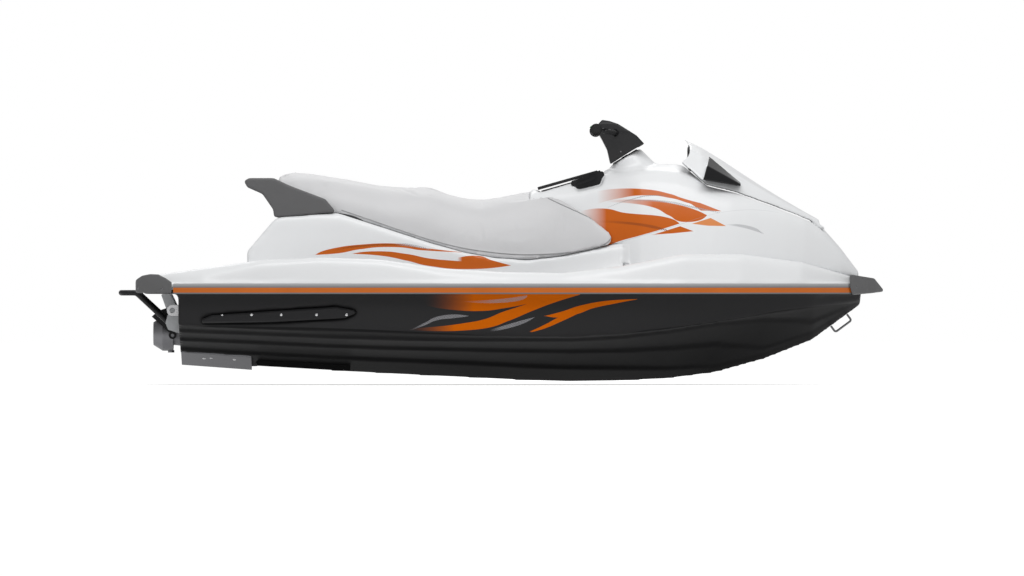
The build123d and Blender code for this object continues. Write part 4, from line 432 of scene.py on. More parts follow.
@dataclass(frozen=True)
class SeatCover(Finish):
    """Marine vinyl with a fine leather grain and painted shade along its foot, where it meets the deck."""

    SOFT_SCALE: ClassVar[float] = 5.0
    SOFT_DIM: ClassVar[float] = 0.9
    ROUGH_SPREAD: ClassVar[float] = 0.1
    ROUGHNESS: ClassVar[float] = 0.53
    SHEEN: ClassVar[float] = 0.15
    SHEEN_ROUGHNESS: ClassVar[float] = 0.5
    LEATHER_SCALE: ClassVar[float] = 420.0
    PORE_SCALE: ClassVar[float] = 900.0
    PORE_SHARE: ClassVar[float] = 0.5
    GRAIN_STRENGTH: ClassVar[float] = 0.22
    GRAIN_DEPTH: ClassVar[float] = 0.0008

    def material(self) -> bpy.types.Material:
        """Build the finish."""
        tree = ShaderTree(self.name)
        soft = tree.noise(self.SOFT_SCALE, 3.0)
        top = tree.mix(soft, self.shade(self.SOFT_DIM), self.shade())
        tree.values(
            # Painted shade: the cover turns near-black along its foot
            Base_Color=tree.mix(SEAT_FOOT_SHADE.mask(tree), top, opaque(SEAT_FOOT_SHADE.colour)),
            Roughness=tree.around(self.ROUGHNESS, self.ROUGH_SPREAD, soft),
            Sheen_Weight=self.SHEEN,
            Sheen_Roughness=self.SHEEN_ROUGHNESS,
        )
        pores = tree.math("MULTIPLY", tree.noise(self.PORE_SCALE), self.PORE_SHARE)
        grain = tree.math("ADD", tree.cells(self.LEATHER_SCALE), pores)
        tree.bump(grain, self.GRAIN_STRENGTH, self.GRAIN_DEPTH)
        return tree.material


@dataclass(frozen=True)
class FoamMat(Finish):
    """Ribbed foam matting, with a painted highlight on its rib crests.

    Attributes:
        axis: The axis that its ribs cross.
    """

    RIB_SCALE: ClassVar[float] = 28.0
    CREST_GAIN: ClassVar[float] = 1.6
    CREST_LIFT: ClassVar[float] = 0.01
    ROUGHNESS: ClassVar[float] = 0.85
    RIB_STRENGTH: ClassVar[float] = 0.9
    RIB_DEPTH: ClassVar[float] = 0.003

    axis: str

    def material(self) -> bpy.types.Material:
        """Build the finish."""
        tree = ShaderTree(self.name)
        ribs = tree.waves(self.RIB_SCALE, self.axis)
        # Painted highlight: the rib crests are drawn lighter than the grooves
        lit_crest = self.shade(self.CREST_GAIN, self.CREST_LIFT)
        tree.values(Base_Color=tree.mix(ribs, self.shade(), lit_crest), Roughness=self.ROUGHNESS)
        tree.bump(ribs, self.RIB_STRENGTH, self.RIB_DEPTH)
        return tree.material


WHITE: Colour = (0.84, 0.85, 0.86)
BLACK_HULL: Colour = (0.031, 0.031, 0.032)
# Painted shade: a darker black for the hull below its upper chine, where the bottom faces away from the lamps
BOTTOM_SHADE_BLACK: Colour = (0.0135, 0.0135, 0.0140)

SIDE_BANDS = (
    Swoosh(
        ((0.45, 0.530), (0.56, 0.562), (0.67, 0.574), (0.77, 0.563), (0.862, 0.538), (0.903, 0.530)),
        ((0.45, 0.590), (0.55, 0.604), (0.66, 0.602), (0.77, 0.582), (0.825, 0.563), (0.903, 0.5415)),
        DEEP_ORANGE, (0.46, 0.62),
    ),
    Swoosh(
        ((0.862, 0.5375), (0.9045, 0.5085), (0.994, 0.5055)),
        ((0.862, 0.5400), (0.8998, 0.5431), (0.994, 0.5065)),
        DEEP_ORANGE, (0.855, 0.860), sharp=True,
    ),
    Swoosh(
        ((0.52, 0.545), (0.62, 0.538), (0.70, 0.522), (0.77, 0.486), (0.84, 0.459), (0.93, 0.486)),
        ((0.52, 0.556), (0.62, 0.557), (0.70, 0.554), (0.79, 0.538), (0.86, 0.520), (0.93, 0.490)),
        DEEP_ORANGE, (0.50, 0.70),
    ),
    Swoosh(
        ((0.40, 0.300), (0.545, 0.373), (0.64, 0.400), (0.73, 0.426), (0.812, 0.452)),
        ((0.40, 0.510), (0.48, 0.519), (0.58, 0.500), (0.74, 0.484), (0.812, 0.455)),
        DEEP_ORANGE, (0.39, 0.50),
    ),
    Swoosh(
        ((0.7035, 0.4050), (0.79, 0.411), (0.8736, 0.4195)),
        ((0.7035, 0.4070), (0.8157, 0.4422), (0.8736, 0.4205)),
        DEEP_ORANGE, (0.69, 0.70), sharp=True,
    ),
    Swoosh(
        ((0.867, 0.4515), (0.937, 0.443), (1.0138, 0.4418)),
        ((0.867, 0.4530), (0.9465, 0.4777), (1.0138, 0.4428)),
        PALE_ORANGE, (0.86, 0.865), sharp=True,
    ),
    swoosh(
        ((0.50, 0.457, 0.467), (0.62, 0.446, 0.458), (0.71, 0.430, 0.443), (0.775, 0.417, 0.418)),
        DARK_ORANGE, (0.46, 0.60), 120.0,
    ),
    swoosh(
        ((0.56, 0.545, 0.549), (0.66, 0.549, 0.557), (0.76, 0.541, 0.551), (0.86, 0.521, 0.530),
         (0.985, 0.498, 0.502)),
        HATCH_GREY, (0.54, 0.72), 150.0,
    ),
    swoosh(
        ((0.507, 0.522, 0.524), (0.61, 0.556, 0.560), (0.69, 0.571, 0.576), (0.77, 0.569, 0.571)),
        LINE_GREY, (0.50, 0.51), 110.0,
    ),
    swoosh(
        ((0.545, 0.369, 0.371), (0.77, 0.434, 0.436), (0.993, 0.4995, 0.5010), (1.08, 0.5105, 0.5120),
         (1.157, 0.5105, 0.5120), (1.24, 0.500, 0.501)),
        HATCH_GREY, (0.54, 0.55),
    ),
    swoosh(
        ((1.020, 0.447, 0.450), (1.09, 0.434, 0.448), (1.175, 0.4075, 0.4090)),
        HATCH_GREY, (1.00, 1.06), 140.0,
    ),
)
DECK_BANDS = (
    swoosh(
        ((-0.75, 0.318, 0.320), (-0.66, 0.324, 0.350), (-0.55, 0.343, 0.364), (-0.43, 0.352, 0.369),
         (-0.29, 0.338, 0.350), (-0.12, 0.329, 0.331)),
        DEEP_ORANGE, (-0.76, -0.74),
    ),
    swoosh(
        ((-0.59, 0.323, 0.325), (-0.48, 0.316, 0.335), (-0.36, 0.294, 0.324), (-0.25, 0.269, 0.303),
         (-0.11, 0.257, 0.291), (0.09, 0.273, 0.275)),
        DEEP_ORANGE, (-0.60, -0.58),
    ),
    swoosh(
        ((-0.13, 0.290, 0.309), (-0.06, 0.285, 0.316), (0.01, 0.276, 0.296), (0.088, 0.273, 0.275)),
        DEEP_ORANGE, (-0.14, -0.12),
    ),
    swoosh(
        ((-0.66, 0.337, 0.343), (-0.55, 0.353, 0.361), (-0.43, 0.359, 0.367), (-0.32, 0.346, 0.356)),
        DARK_ORANGE, (-0.68, -0.60), 150.0,
    ),
    swoosh(
        ((-0.40, 0.360, 0.373), (-0.33, 0.352, 0.364), (-0.25, 0.338, 0.340)),
        HATCH_GREY, (-0.41, -0.36), 150.0,
    ),
)
HULL_BANDS = (
    # Painted shade: this first band darkens the hull below its upper chine
    Swoosh(
        ((-1.50, -0.60), (0.0, -0.60), (1.70, -0.60)),
        ((-1.50, 0.013), (-1.05, 0.013), (-0.63, 0.004), (-0.22, -0.014), (0.30, -0.032), (0.70, 0.001),
         (1.08, 0.052), (1.28, 0.085), (1.47, 0.104), (1.70, 0.120)),
        BOTTOM_SHADE_BLACK, (-1.60, -1.59),
    ),
    swoosh(
        ((-0.29, 0.110, 0.160), (-0.15, 0.082, 0.162), (-0.04, 0.078, 0.162), (0.055, 0.089, 0.162),
         (0.18, 0.113, 0.162), (0.33, 0.146, 0.160)),
        ORANGE, (-0.29, -0.07), ease=2.2,
    ),
    Swoosh(
        ((-0.35, -0.003), (-0.22, -0.008), (-0.11, -0.005), (-0.01, 0.006), (0.08, 0.036), (0.19, 0.082),
         (0.29, 0.119), (0.385, 0.148)),
        ((-0.35, 0.004), (-0.22, 0.013), (-0.11, 0.027), (-0.03, 0.042), (0.055, 0.075), (0.137, 0.102),
         (0.206, 0.127), (0.385, 0.180)),
        ORANGE, (-0.35, -0.15), ease=2.0,
    ),
    Swoosh(
        ((0.178, -0.012), (0.233, 0.003), (0.300, 0.031), (0.375, 0.066)),
        ((0.178, -0.006), (0.245, 0.026), (0.290, 0.050), (0.375, 0.080)),
        ORANGE, (0.17, 0.18),
    ),
    Swoosh(
        ((0.240, 0.056), (0.302, 0.050), (0.376, 0.066), (0.442, 0.090), (0.535, 0.110), (0.630, 0.128)),
        ((0.240, 0.059), (0.302, 0.075), (0.398, 0.105), (0.494, 0.122), (0.560, 0.127), (0.630, 0.130)),
        ORANGE, (0.23, 0.24),
    ),
    swoosh(
        ((-0.335, -0.004, 0.000), (-0.275, 0.018, 0.030), (-0.22, 0.040, 0.056), (-0.15, 0.048, 0.064),
         (-0.09, 0.056, 0.058)),
        HATCH_GREY, (-0.345, -0.28), 160.0,
    ),
    swoosh(
        ((0.005, -0.010, 0.000), (0.120, 0.016, 0.034), (0.192, 0.0515, 0.0530)),
        HATCH_GREY, (0.00, 0.05), 160.0,
    ),
    swoosh(
        ((-0.12, 0.118, 0.120), (0.02, 0.112, 0.128), (0.16, 0.140, 0.146)),
        HATCH_GREY, (-0.12, 0.02), 160.0,
    ),
)
# Painted shade along the seat's foot where it meets the deck: near-black below the upper edge's curve
SEAT_FOOT_SHADE = Swoosh(
    ((-1.10, 0.20), (0.00, 0.20), (0.60, 0.20)),
    ((-1.10, 0.500), (-0.66, 0.500), (-0.51, 0.448), (-0.36, 0.393), (-0.22, 0.352), (-0.08, 0.318),
     (0.02, 0.302), (0.15, 0.298), (0.26, 0.306), (0.40, 0.325), (0.60, 0.36)),
    (0.06, 0.06, 0.062),
    (-1.20, -1.19),
)

GELCOAT_WHITE = Gelcoat("gelcoat_white", WHITE, SIDE_BANDS)
GELCOAT_DECK = Gelcoat("gelcoat_deck", WHITE, DECK_BANDS)
GELCOAT_PLAIN = Gelcoat("gelcoat_plain", WHITE)
GELCOAT_BLACK = Gelcoat("gelcoat_black", BLACK_HULL, HULL_BANDS, 0.50, 0.0, 0.045)
BLACK_PLASTIC = Moulding("black_plastic", (0.009, 0.009, 0.010), 0.40, shine=0.22)
GLOSS_BLACK = Moulding("gloss_black", (0.008, 0.008, 0.009), 0.24, 300.0, 0.02, 0.25)
GREY_PLASTIC = Moulding("grey_plastic", (0.108, 0.108, 0.110), 0.46, 700.0, 0.3)
DARK_GREY_PLASTIC = Moulding("dark_grey_plastic", (0.012, 0.012, 0.013), 0.42, 700.0, 0.2, 0.3)
# Painted highlight along the rail's top, where light falls on it
RAIL_RUBBER = Moulding("rail_rubber", (0.15, 0.15, 0.152), 0.5, 900.0, 0.1, 0.3,
                       pale=(0.52, 0.52, 0.53), rise=(0.178, 0.198))
STRIPE_PAINT = Moulding("stripe_paint", (0.52, 0.125, 0.012), 0.35, 900.0, 0.05)
GRIP_RUBBER = Moulding("grip_rubber", (0.012, 0.012, 0.012), 0.7, 500.0, 0.5)
CAST_METAL = Metal("cast_metal", (0.42, 0.43, 0.44), 0.42, 160.0, (1, 1, 1), 0.5)
GREY_CAST = Metal("grey_cast", (0.20, 0.20, 0.21), 0.45, 160.0, (1, 1, 1), 0.5)
DRAWN_STEEL = Metal("drawn_steel", (0.60, 0.60, 0.61), 0.24, 90.0, (0.2, 4.0, 4.0), 0.1)
MIRROR_SILVER = Metal("mirror_silver", (0.86, 0.88, 0.89), 0.12, 4.0, (1, 1, 1), 0.0)
IRON = Metal("iron", (0.20, 0.20, 0.21), 0.6, 80.0, (1, 1, 1), 0.6)
VINYL = SeatCover("seat_vinyl", (0.66, 0.66, 0.67))
PIPING = Moulding("seat_piping", (0.30, 0.30, 0.305), 0.5, 600.0, 0.1)
# Painted shade: cast metal darkened for the intake grate, which sits in the shade beneath the hull
SHADED_CAST = Metal("dark_cast", (0.10, 0.10, 0.105), 0.5, 160.0, (1, 1, 1), 0.5)
DARK_STEEL = Metal("dark_steel", (0.16, 0.16, 0.165), 0.35, 60.0, (1, 1, 1), 0.2)
RED_PLASTIC = Moulding("red_plastic", (0.50, 0.012, 0.010), 0.35, 500.0, 0.05)
GREEN_PLASTIC = Moulding("green_plastic", (0.015, 0.22, 0.045), 0.35, 500.0, 0.05)
DISPLAY_GLASS = Moulding("display_glass", (0.012, 0.016, 0.018), 0.08, 200.0, 0.0)
PALE_MARK = Moulding("pale_mark", (0.62, 0.63, 0.64), 0.4, 900.0, 0.05)
MAT_LONG = FoamMat("mat_long", (0.045, 0.045, 0.048), "X")
MAT_CROSS = FoamMat("mat_cross", (0.045, 0.045, 0.048), "Y")

@dataclass
class Paintbox:
    """Keeps one material for each finish."""

    made: dict[str, bpy.types.Material]

    def of(self, finish: Finish) -> bpy.types.Material:
        """The finish's material, made once."""
        if finish.name not in self.made:
            self.made[finish.name] = finish.material()
        return self.made[finish.name]


PAINTS = Paintbox({})


# Pieces


def in_scene(name: str, data: bpy.types.ID) -> bpy.types.Object:
    """A new object in the scene that shows a mesh, a light or a camera."""
    thing = bpy.data.objects.new(name, data)
    bpy.context.scene.collection.objects.link(thing)
    return thing


def finish_piece(mesh_work: bmesh.types.BMesh, name: str, body: Body, finish: Finish,
                 smooth: float | None = 40.0) -> bpy.types.Object:
    """Turn finished mesh work into a piece that rides on a body.

    Args:
        mesh_work: The mesh, with its place in it. It is freed.
        name: The piece's name.
        body: The body that it rides on.
        finish: What it is finished in.
        smooth: Edges below this angle in degrees are shaded smooth, or None for none.

    Returns:
        The new object.
    """
    mesh = bpy.data.meshes.new(name)
    mesh_work.to_mesh(mesh)
    mesh_work.free()
    piece = in_scene(name, mesh)
    mesh.materials.append(PAINTS.of(finish))
    if smooth is not None:
        mesh.shade_smooth()
        mesh.set_sharp_from_angle(angle=math.radians(smooth))
    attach(piece, body.value)
    LOG.info("%s: %d faces on %s", name, len(mesh.polygons), body.value)
    return piece


def dress(node: str, finish: Finish) -> None:
    """Give a node of the frame its finish."""
    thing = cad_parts[node]
    if not thing.data.materials:
        thing.data.materials.append(PAINTS.of(finish))
    for slot in thing.material_slots:
        slot.material = PAINTS.of(finish)
    LOG.info("%s: dressed in %s", node, finish.name)


def surface_hit(thing: bpy.types.Object, start: Point, towards: Point) -> tuple[Vector, Vector] | None:
    """Find where a line first meets an object.

    Args:
        thing: The object.
        start: A point outside it.
        towards: The line's direction.

    Returns:
        The point and the surface's outward normal there, or None where the line misses.
    """
    hit, place, normal, _ = thing.ray_cast(Vector(start), Vector(towards).normalized())
    return (place, normal.normalized()) if hit else None


def merged_copy(node: str) -> bmesh.types.BMesh:
    """A copy of a node's mesh with its loose triangles joined."""
    work = bmesh.new()
    work.from_mesh(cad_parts[node].data)
    bmesh.ops.remove_doubles(work, verts=work.verts, dist=1e-5)
    return work


@dataclass
class Skin:
    """A moulded shell: a node's form with its facets melted and its edges eased.

    Attributes:
        node: The node that it stands for.
        slot: Its material slot's name; not used.
        finish: Its finish.
        body: The body that it rides on.
        voxel: Size of the new mesh's cells.
        rounds: Rounds of smoothing.
    """

    SMOOTH_SHARE: ClassVar[float] = 0.5
    SHARP_ANGLE: ClassVar[float] = 60.0

    node: str
    slot: str
    finish: Finish
    body: Body = Body.CRAFT
    voxel: float = 0.008
    rounds: int = 8

    def build(self) -> bpy.types.Object:
        """Make the skin and put it in place of its node."""
        name = "skin_" + self.node
        rough = bpy.data.meshes.new(name + "_rough")
        work = merged_copy(self.node)
        work.to_mesh(rough)
        work.free()
        source = in_scene(name + "_rough", rough)
        remesh = source.modifiers.new("cells", "REMESH")
        remesh.mode = "VOXEL"
        remesh.voxel_size = self.voxel
        melt = source.modifiers.new("melt", "SMOOTH")
        melt.factor = self.SMOOTH_SHARE
        melt.iterations = self.rounds
        bpy.context.view_layer.update()
        done = bpy.data.meshes.new_from_object(source.evaluated_get(bpy.context.evaluated_depsgraph_get()))
        bpy.data.objects.remove(source)
        work = bmesh.new()
        work.from_mesh(done)
        piece = finish_piece(work, name, self.body, self.finish, self.SHARP_ANGLE)
        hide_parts(self.node)
        return piece


# A screw head's form and a button's, as shares of its radius or height
SCREW_SINK_SHARE = 0.1
SCREW_DOME_SHARE = 0.45
RECESS_BREADTH_SHARE = 0.22
RECESS_DEPTH_SHARE = 0.12
RECESS_PLACE_SHARE = 0.44
PAD_TOP_SHARE = 0.9
PAD_EDGE_SHARE = 0.15
PAD_FOOT_SHARE = 0.2


def screw_head(work: bmesh.types.BMesh, place: Vector, normal: Vector, radius: float) -> None:
    """Add a domed screw head with a cross recess.

    Args:
        work: The mesh to add to.
        place: The middle of its seat.
        normal: The way it faces.
        radius: The head's radius.
    """
    turn = normal.to_track_quat("Z", "Y").to_matrix().to_4x4()
    seat = Matrix.Translation(place - normal * radius * SCREW_SINK_SHARE) @ turn
    made = bmesh.ops.create_uvsphere(work, u_segments=16, v_segments=8, radius=radius)["verts"]
    low = [v for v in made if v.co.z < -1e-6]
    bmesh.ops.delete(work, geom=low, context="VERTS")
    dome = [v for v in made if v.is_valid]
    bmesh.ops.scale(work, vec=(1, 1, SCREW_DOME_SHARE), verts=dome)
    bmesh.ops.transform(work, matrix=seat, verts=dome)
    for angle in (0.0, math.pi / 2):
        bar = bmesh.ops.create_cube(work, size=1.0)["verts"]
        bmesh.ops.scale(work, vec=radius * Vector((1, RECESS_BREADTH_SHARE, RECESS_DEPTH_SHARE)), verts=bar)
        bmesh.ops.rotate(work, matrix=Matrix.Rotation(angle, 3, "Z"), verts=bar)
        bmesh.ops.translate(work, vec=(0, 0, radius * RECESS_PLACE_SHARE), verts=bar)
        bmesh.ops.transform(work, matrix=seat, verts=bar)


@dataclass
class ScrewRow:
    """Screws that hold one node, each set on its surface.

    Attributes:
        node: The node that they hold.
        starts: Points outside it, one for each screw.
        towards: The direction that each screw is driven in.
        radius: The head's radius.
        body: The body that they ride on.
        finish: What they are made of.
        word: What tells the row from another on the same node.
    """

    node: str
    starts: list[Point]
    towards: Point
    radius: float = 0.006
    body: Body = Body.CRAFT
    finish: Finish = DRAWN_STEEL
    word: str = "screws"

    def build(self) -> None:
        """Make the row as one piece."""
        thing = bpy.data.objects.get("skin_" + self.node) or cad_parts[self.node]
        work = bmesh.new()
        for start in self.starts:
            found = surface_hit(thing, start, self.towards)
            if found:
                screw_head(work, *found, self.radius)
            else:
                LOG.info("%s: nothing under a screw at %s", self.node, start)
        finish_piece(work, f"{self.word}_{self.node}", self.body, self.finish)


def section_frame(place: Vector, across: Vector, run: Vector) -> Matrix:
    """The matrix that stands a flat section at a place, square to a run."""
    columns = (across, run.cross(across), run)
    turn = Matrix([[column[row] for column in columns] for row in range(3)]).to_4x4()
    return Matrix.Translation(place) @ turn


def tube(work: bmesh.types.BMesh, line: list[Vector], radius: float, sides: int = 10,
         closed: bool = False) -> None:
    """Bridge round sections along a line of points.

    Args:
        work: The mesh to add to.
        line: The points of the line.
        radius: The section's radius.
        sides: Faces round the section.
        closed: Whether the line meets itself.
    """
    count = len(line)
    loops = []
    made = []
    across = None
    for number, place in enumerate(line):
        before = line[(number - 1) % count] if closed or number else place
        after = line[(number + 1) % count] if closed or number < count - 1 else place
        run = (after - before).normalized()
        across = across - run * across.dot(run) if across else run.orthogonal()
        across.normalize()
        capped = not closed and number in (0, count - 1)
        ring = bmesh.ops.create_circle(work, cap_ends=capped, segments=sides, radius=radius,
                                       matrix=section_frame(place, across, run))["verts"]
        made += ring
        loops.append(list({edge for vert in ring for edge in vert.link_edges}))
    pairs = list(zip(loops, loops[1:])) + ([(loops[-1], loops[0])] if closed else [])
    for low, high in pairs:
        bmesh.ops.bridge_loops(work, edges=low + high)
    bmesh.ops.recalc_face_normals(work, faces=list({face for vert in made for face in vert.link_faces}))


def hoop(work: bmesh.types.BMesh, centre: Vector, axis: Vector, radius: float, thick: float) -> None:
    """Spin a ring of round section about an axis.

    Args:
        work: The mesh to add to.
        centre: The ring's centre.
        axis: The direction it turns about.
        radius: From the centre to the middle of the section.
        thick: The section's radius.
    """
    across = axis.orthogonal().normalized()
    run = axis.normalized().cross(across)
    section = bmesh.ops.create_circle(work, segments=8, radius=thick,
                                      matrix=section_frame(centre + across * radius, across, run))["verts"]
    edges = list({edge for vert in section for edge in vert.link_edges})
    before = set(work.faces)
    bmesh.ops.spin(work, geom=section + edges, cent=centre, axis=axis, angle=2 * math.pi, steps=36,
                   use_merge=True)
    bmesh.ops.recalc_face_normals(work, faces=[face for face in work.faces if face not in before])


def round_pad(work: bmesh.types.BMesh, place: Vector, normal: Vector, radius: float, height: float) -> None:
    """Add a short round button that stands on a surface.

    Args:
        work: The mesh to add to.
        place: The middle of its foot.
        normal: The way it stands.
        radius: Its radius.
        height: How far it stands out.
    """
    turn = normal.to_track_quat("Z", "Y").to_matrix().to_4x4()
    seat = Matrix.Translation(place + normal * height * (1 - PAD_FOOT_SHARE) / 2) @ turn
    made = bmesh.ops.create_cone(work, cap_ends=True, segments=28, radius1=radius,
                                 radius2=radius * PAD_TOP_SHARE, depth=height * (1 + PAD_FOOT_SHARE),
                                 matrix=seat)["verts"]
    edges = [e for e in {e for v in made for e in v.link_edges} if e.calc_length() < radius * 0.4]
    bmesh.ops.bevel(work, geom=edges, offset=height * PAD_EDGE_SHARE, segments=2, affect="EDGES")


def middle_of(node: str) -> tuple[Vector, Vector]:
    """The centre and the size of a node's box."""
    corners = [Vector(c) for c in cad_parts[node].bound_box]
    low = Vector(map(min, *corners))
    high = Vector(map(max, *corners))
    return (low + high) / 2, high - low


class Shells:
    """Hull, deck, console, hood and the bumpers."""

    def build(self) -> None:
        """Make the moulded shells in place of their faceted nodes."""
        Skin("hull", "hull_gelcoat", GELCOAT_BLACK, voxel=0.010, rounds=5).build()
        Skin("deck", "deck_gelcoat", GELCOAT_DECK, voxel=0.010, rounds=6).build()
        Skin("cowl", "deck_gelcoat", GELCOAT_WHITE, voxel=0.0075, rounds=14).build()
        Skin("hood", "deck_gelcoat", GELCOAT_PLAIN, Body.HOOD, 0.005, 8).build()
        Skin("bow_bumper", "bumper_rubber", GREY_PLASTIC, voxel=0.004, rounds=4).build()
        for side in Side:
            Skin("stern_corner_" + side.word, "bumper_rubber", GREY_PLASTIC, voxel=0.004, rounds=5).build()
            Skin("mirror_" + side.word, "trim_plastic", GLOSS_BLACK, Body.HOOD, 0.003, 16).build()
        Skin("grab_handle", "trim_plastic", GREY_PLASTIC, voxel=0.005, rounds=8).build()
        Skin("handlebar_cover", "trim_plastic", DARK_GREY_PLASTIC, Body.BARS, 0.0035, 6).build()


@dataclass
class Fairing:
    """The console's blend into the seat's base, laid over the joint between their mouldings.

    Attributes:
        along: Its ends along the craft.
        up: Its lower and upper edge.
        counts: Cells along and up.
        blend: Breadth of its rim at the rear and on its other sides, where it eases into the mouldings.
        rounds: Rounds of easing.
        most: The farthest that it leaves the mouldings.
        sunk: How far its rim lies under them, and its middle over them.
    """

    along: tuple[float, float] = (0.546, 0.607)
    up: tuple[float, float] = (0.274, 0.372)
    counts: tuple[int, int] = (20, 32)
    blend: tuple[float, float] = (0.012, 0.014)
    rounds: int = 150
    most: float = 0.012
    sunk: float = 0.0008

    def reach(self, x: float, z: float, sign: int) -> float | None:
        """How far out the mouldings come at a place in the side view."""
        outs = []
        for name in ("skin_deck", "skin_cowl"):
            found = surface_hit(bpy.data.objects[name], (x, sign * BESIDE, z), (0, -sign, 0))
            if found:
                outs.append(abs(found[0].y))
        return max(outs) if outs else None

    def build(self) -> None:
        """Lay the blend on both sides."""
        columns, rows = self.counts
        xs = [self.along[0] + (self.along[1] - self.along[0]) * i / columns for i in range(columns + 1)]
        zs = [self.up[0] + (self.up[1] - self.up[0]) * j / rows for j in range(rows + 1)]
        for side in Side:
            base = [[self.reach(x, z, side.value) for z in zs] for x in xs]
            if any(value is None for column in base for value in column):
                LOG.info("fairing on %s: open ground beneath it", side.word)
                continue
            eased = [list(column) for column in base]
            for _ in range(self.rounds):
                last = [list(column) for column in eased]
                for i in range(1, columns):
                    for j in range(1, rows):
                        mean = (last[i - 1][j] + last[i + 1][j] + last[i][j - 1] + last[i][j + 1]) / 4
                        eased[i][j] = min(max(mean, base[i][j]), base[i][j] + self.most)
            work = bmesh.new()
            grid = bmesh.ops.create_grid(work, x_segments=columns, y_segments=rows, size=0.5)["verts"]
            for vert in grid:
                i, j = round((vert.co.x + 0.5) * columns), round((vert.co.y + 0.5) * rows)
                rim = min((xs[i] - xs[0]) / self.blend[0], (xs[-1] - xs[i]) / self.blend[1],
                          (zs[j] - zs[0]) / self.blend[1], (zs[-1] - zs[j]) / self.blend[1], 1.0)
                share = rim * rim * (3 - 2 * rim)
                out = base[i][j] + (eased[i][j] - base[i][j]) * share + self.sunk * (2 * share - 1)
                vert.co = (xs[i], side.value * out, zs[j])
            if side is Side.PORT:
                bmesh.ops.reverse_faces(work, faces=work.faces)
            finish_piece(work, "fairing_" + side.word, Body.CRAFT, GELCOAT_WHITE, 180.0)


@dataclass
class IntakeWalls:
    """The hull's lips on both sides of the intake, down to the grate.

    Attributes:
        along: Their ends along the craft.
        low: The height of their lower edge at those ends.
        inner: Half breadth between them.
        thick: Their thickness.
        beside: How far beside them the hull's height is read.
        sunk: How far they reach into the hull.
        least: Their height where they miss it.
    """

    along: tuple[float, float] = (-1.000, -0.601)
    low: tuple[float, float] = (-0.158, -0.181)
    inner: float = 0.0775
    thick: float = 0.006
    beside: float = 0.006
    sunk: float = 0.008
    least: float = 0.020

    def build(self) -> None:
        """Make the lip on each side."""
        hull = bpy.data.objects["skin_hull"]
        middle = self.inner + self.thick / 2
        outer = self.inner + self.thick + self.beside
        for side in Side:
            work = bmesh.new()
            bmesh.ops.create_cube(work, size=1.0)
            runs = [e for e in work.edges if abs(e.verts[0].co.x - e.verts[1].co.x) > 0.5]
            bmesh.ops.subdivide_edges(work, edges=runs, cuts=20, use_grid_fill=True)
            for vert in work.verts:
                share = vert.co.x + 0.5
                x = self.along[0] + (self.along[1] - self.along[0]) * share
                foot = self.low[0] + (self.low[1] - self.low[0]) * share
                found = surface_hit(hull, (x, side.value * outer, BENEATH), (0, 0, 1))
                top = max(found[0].z, foot) + self.sunk if found else foot + self.least
                vert.co = (x, side.value * middle + vert.co.y * self.thick, top if vert.co.z > 0 else foot)
            finish_piece(work, "intake_lip_" + side.word, Body.CRAFT, GELCOAT_BLACK, 30.0)


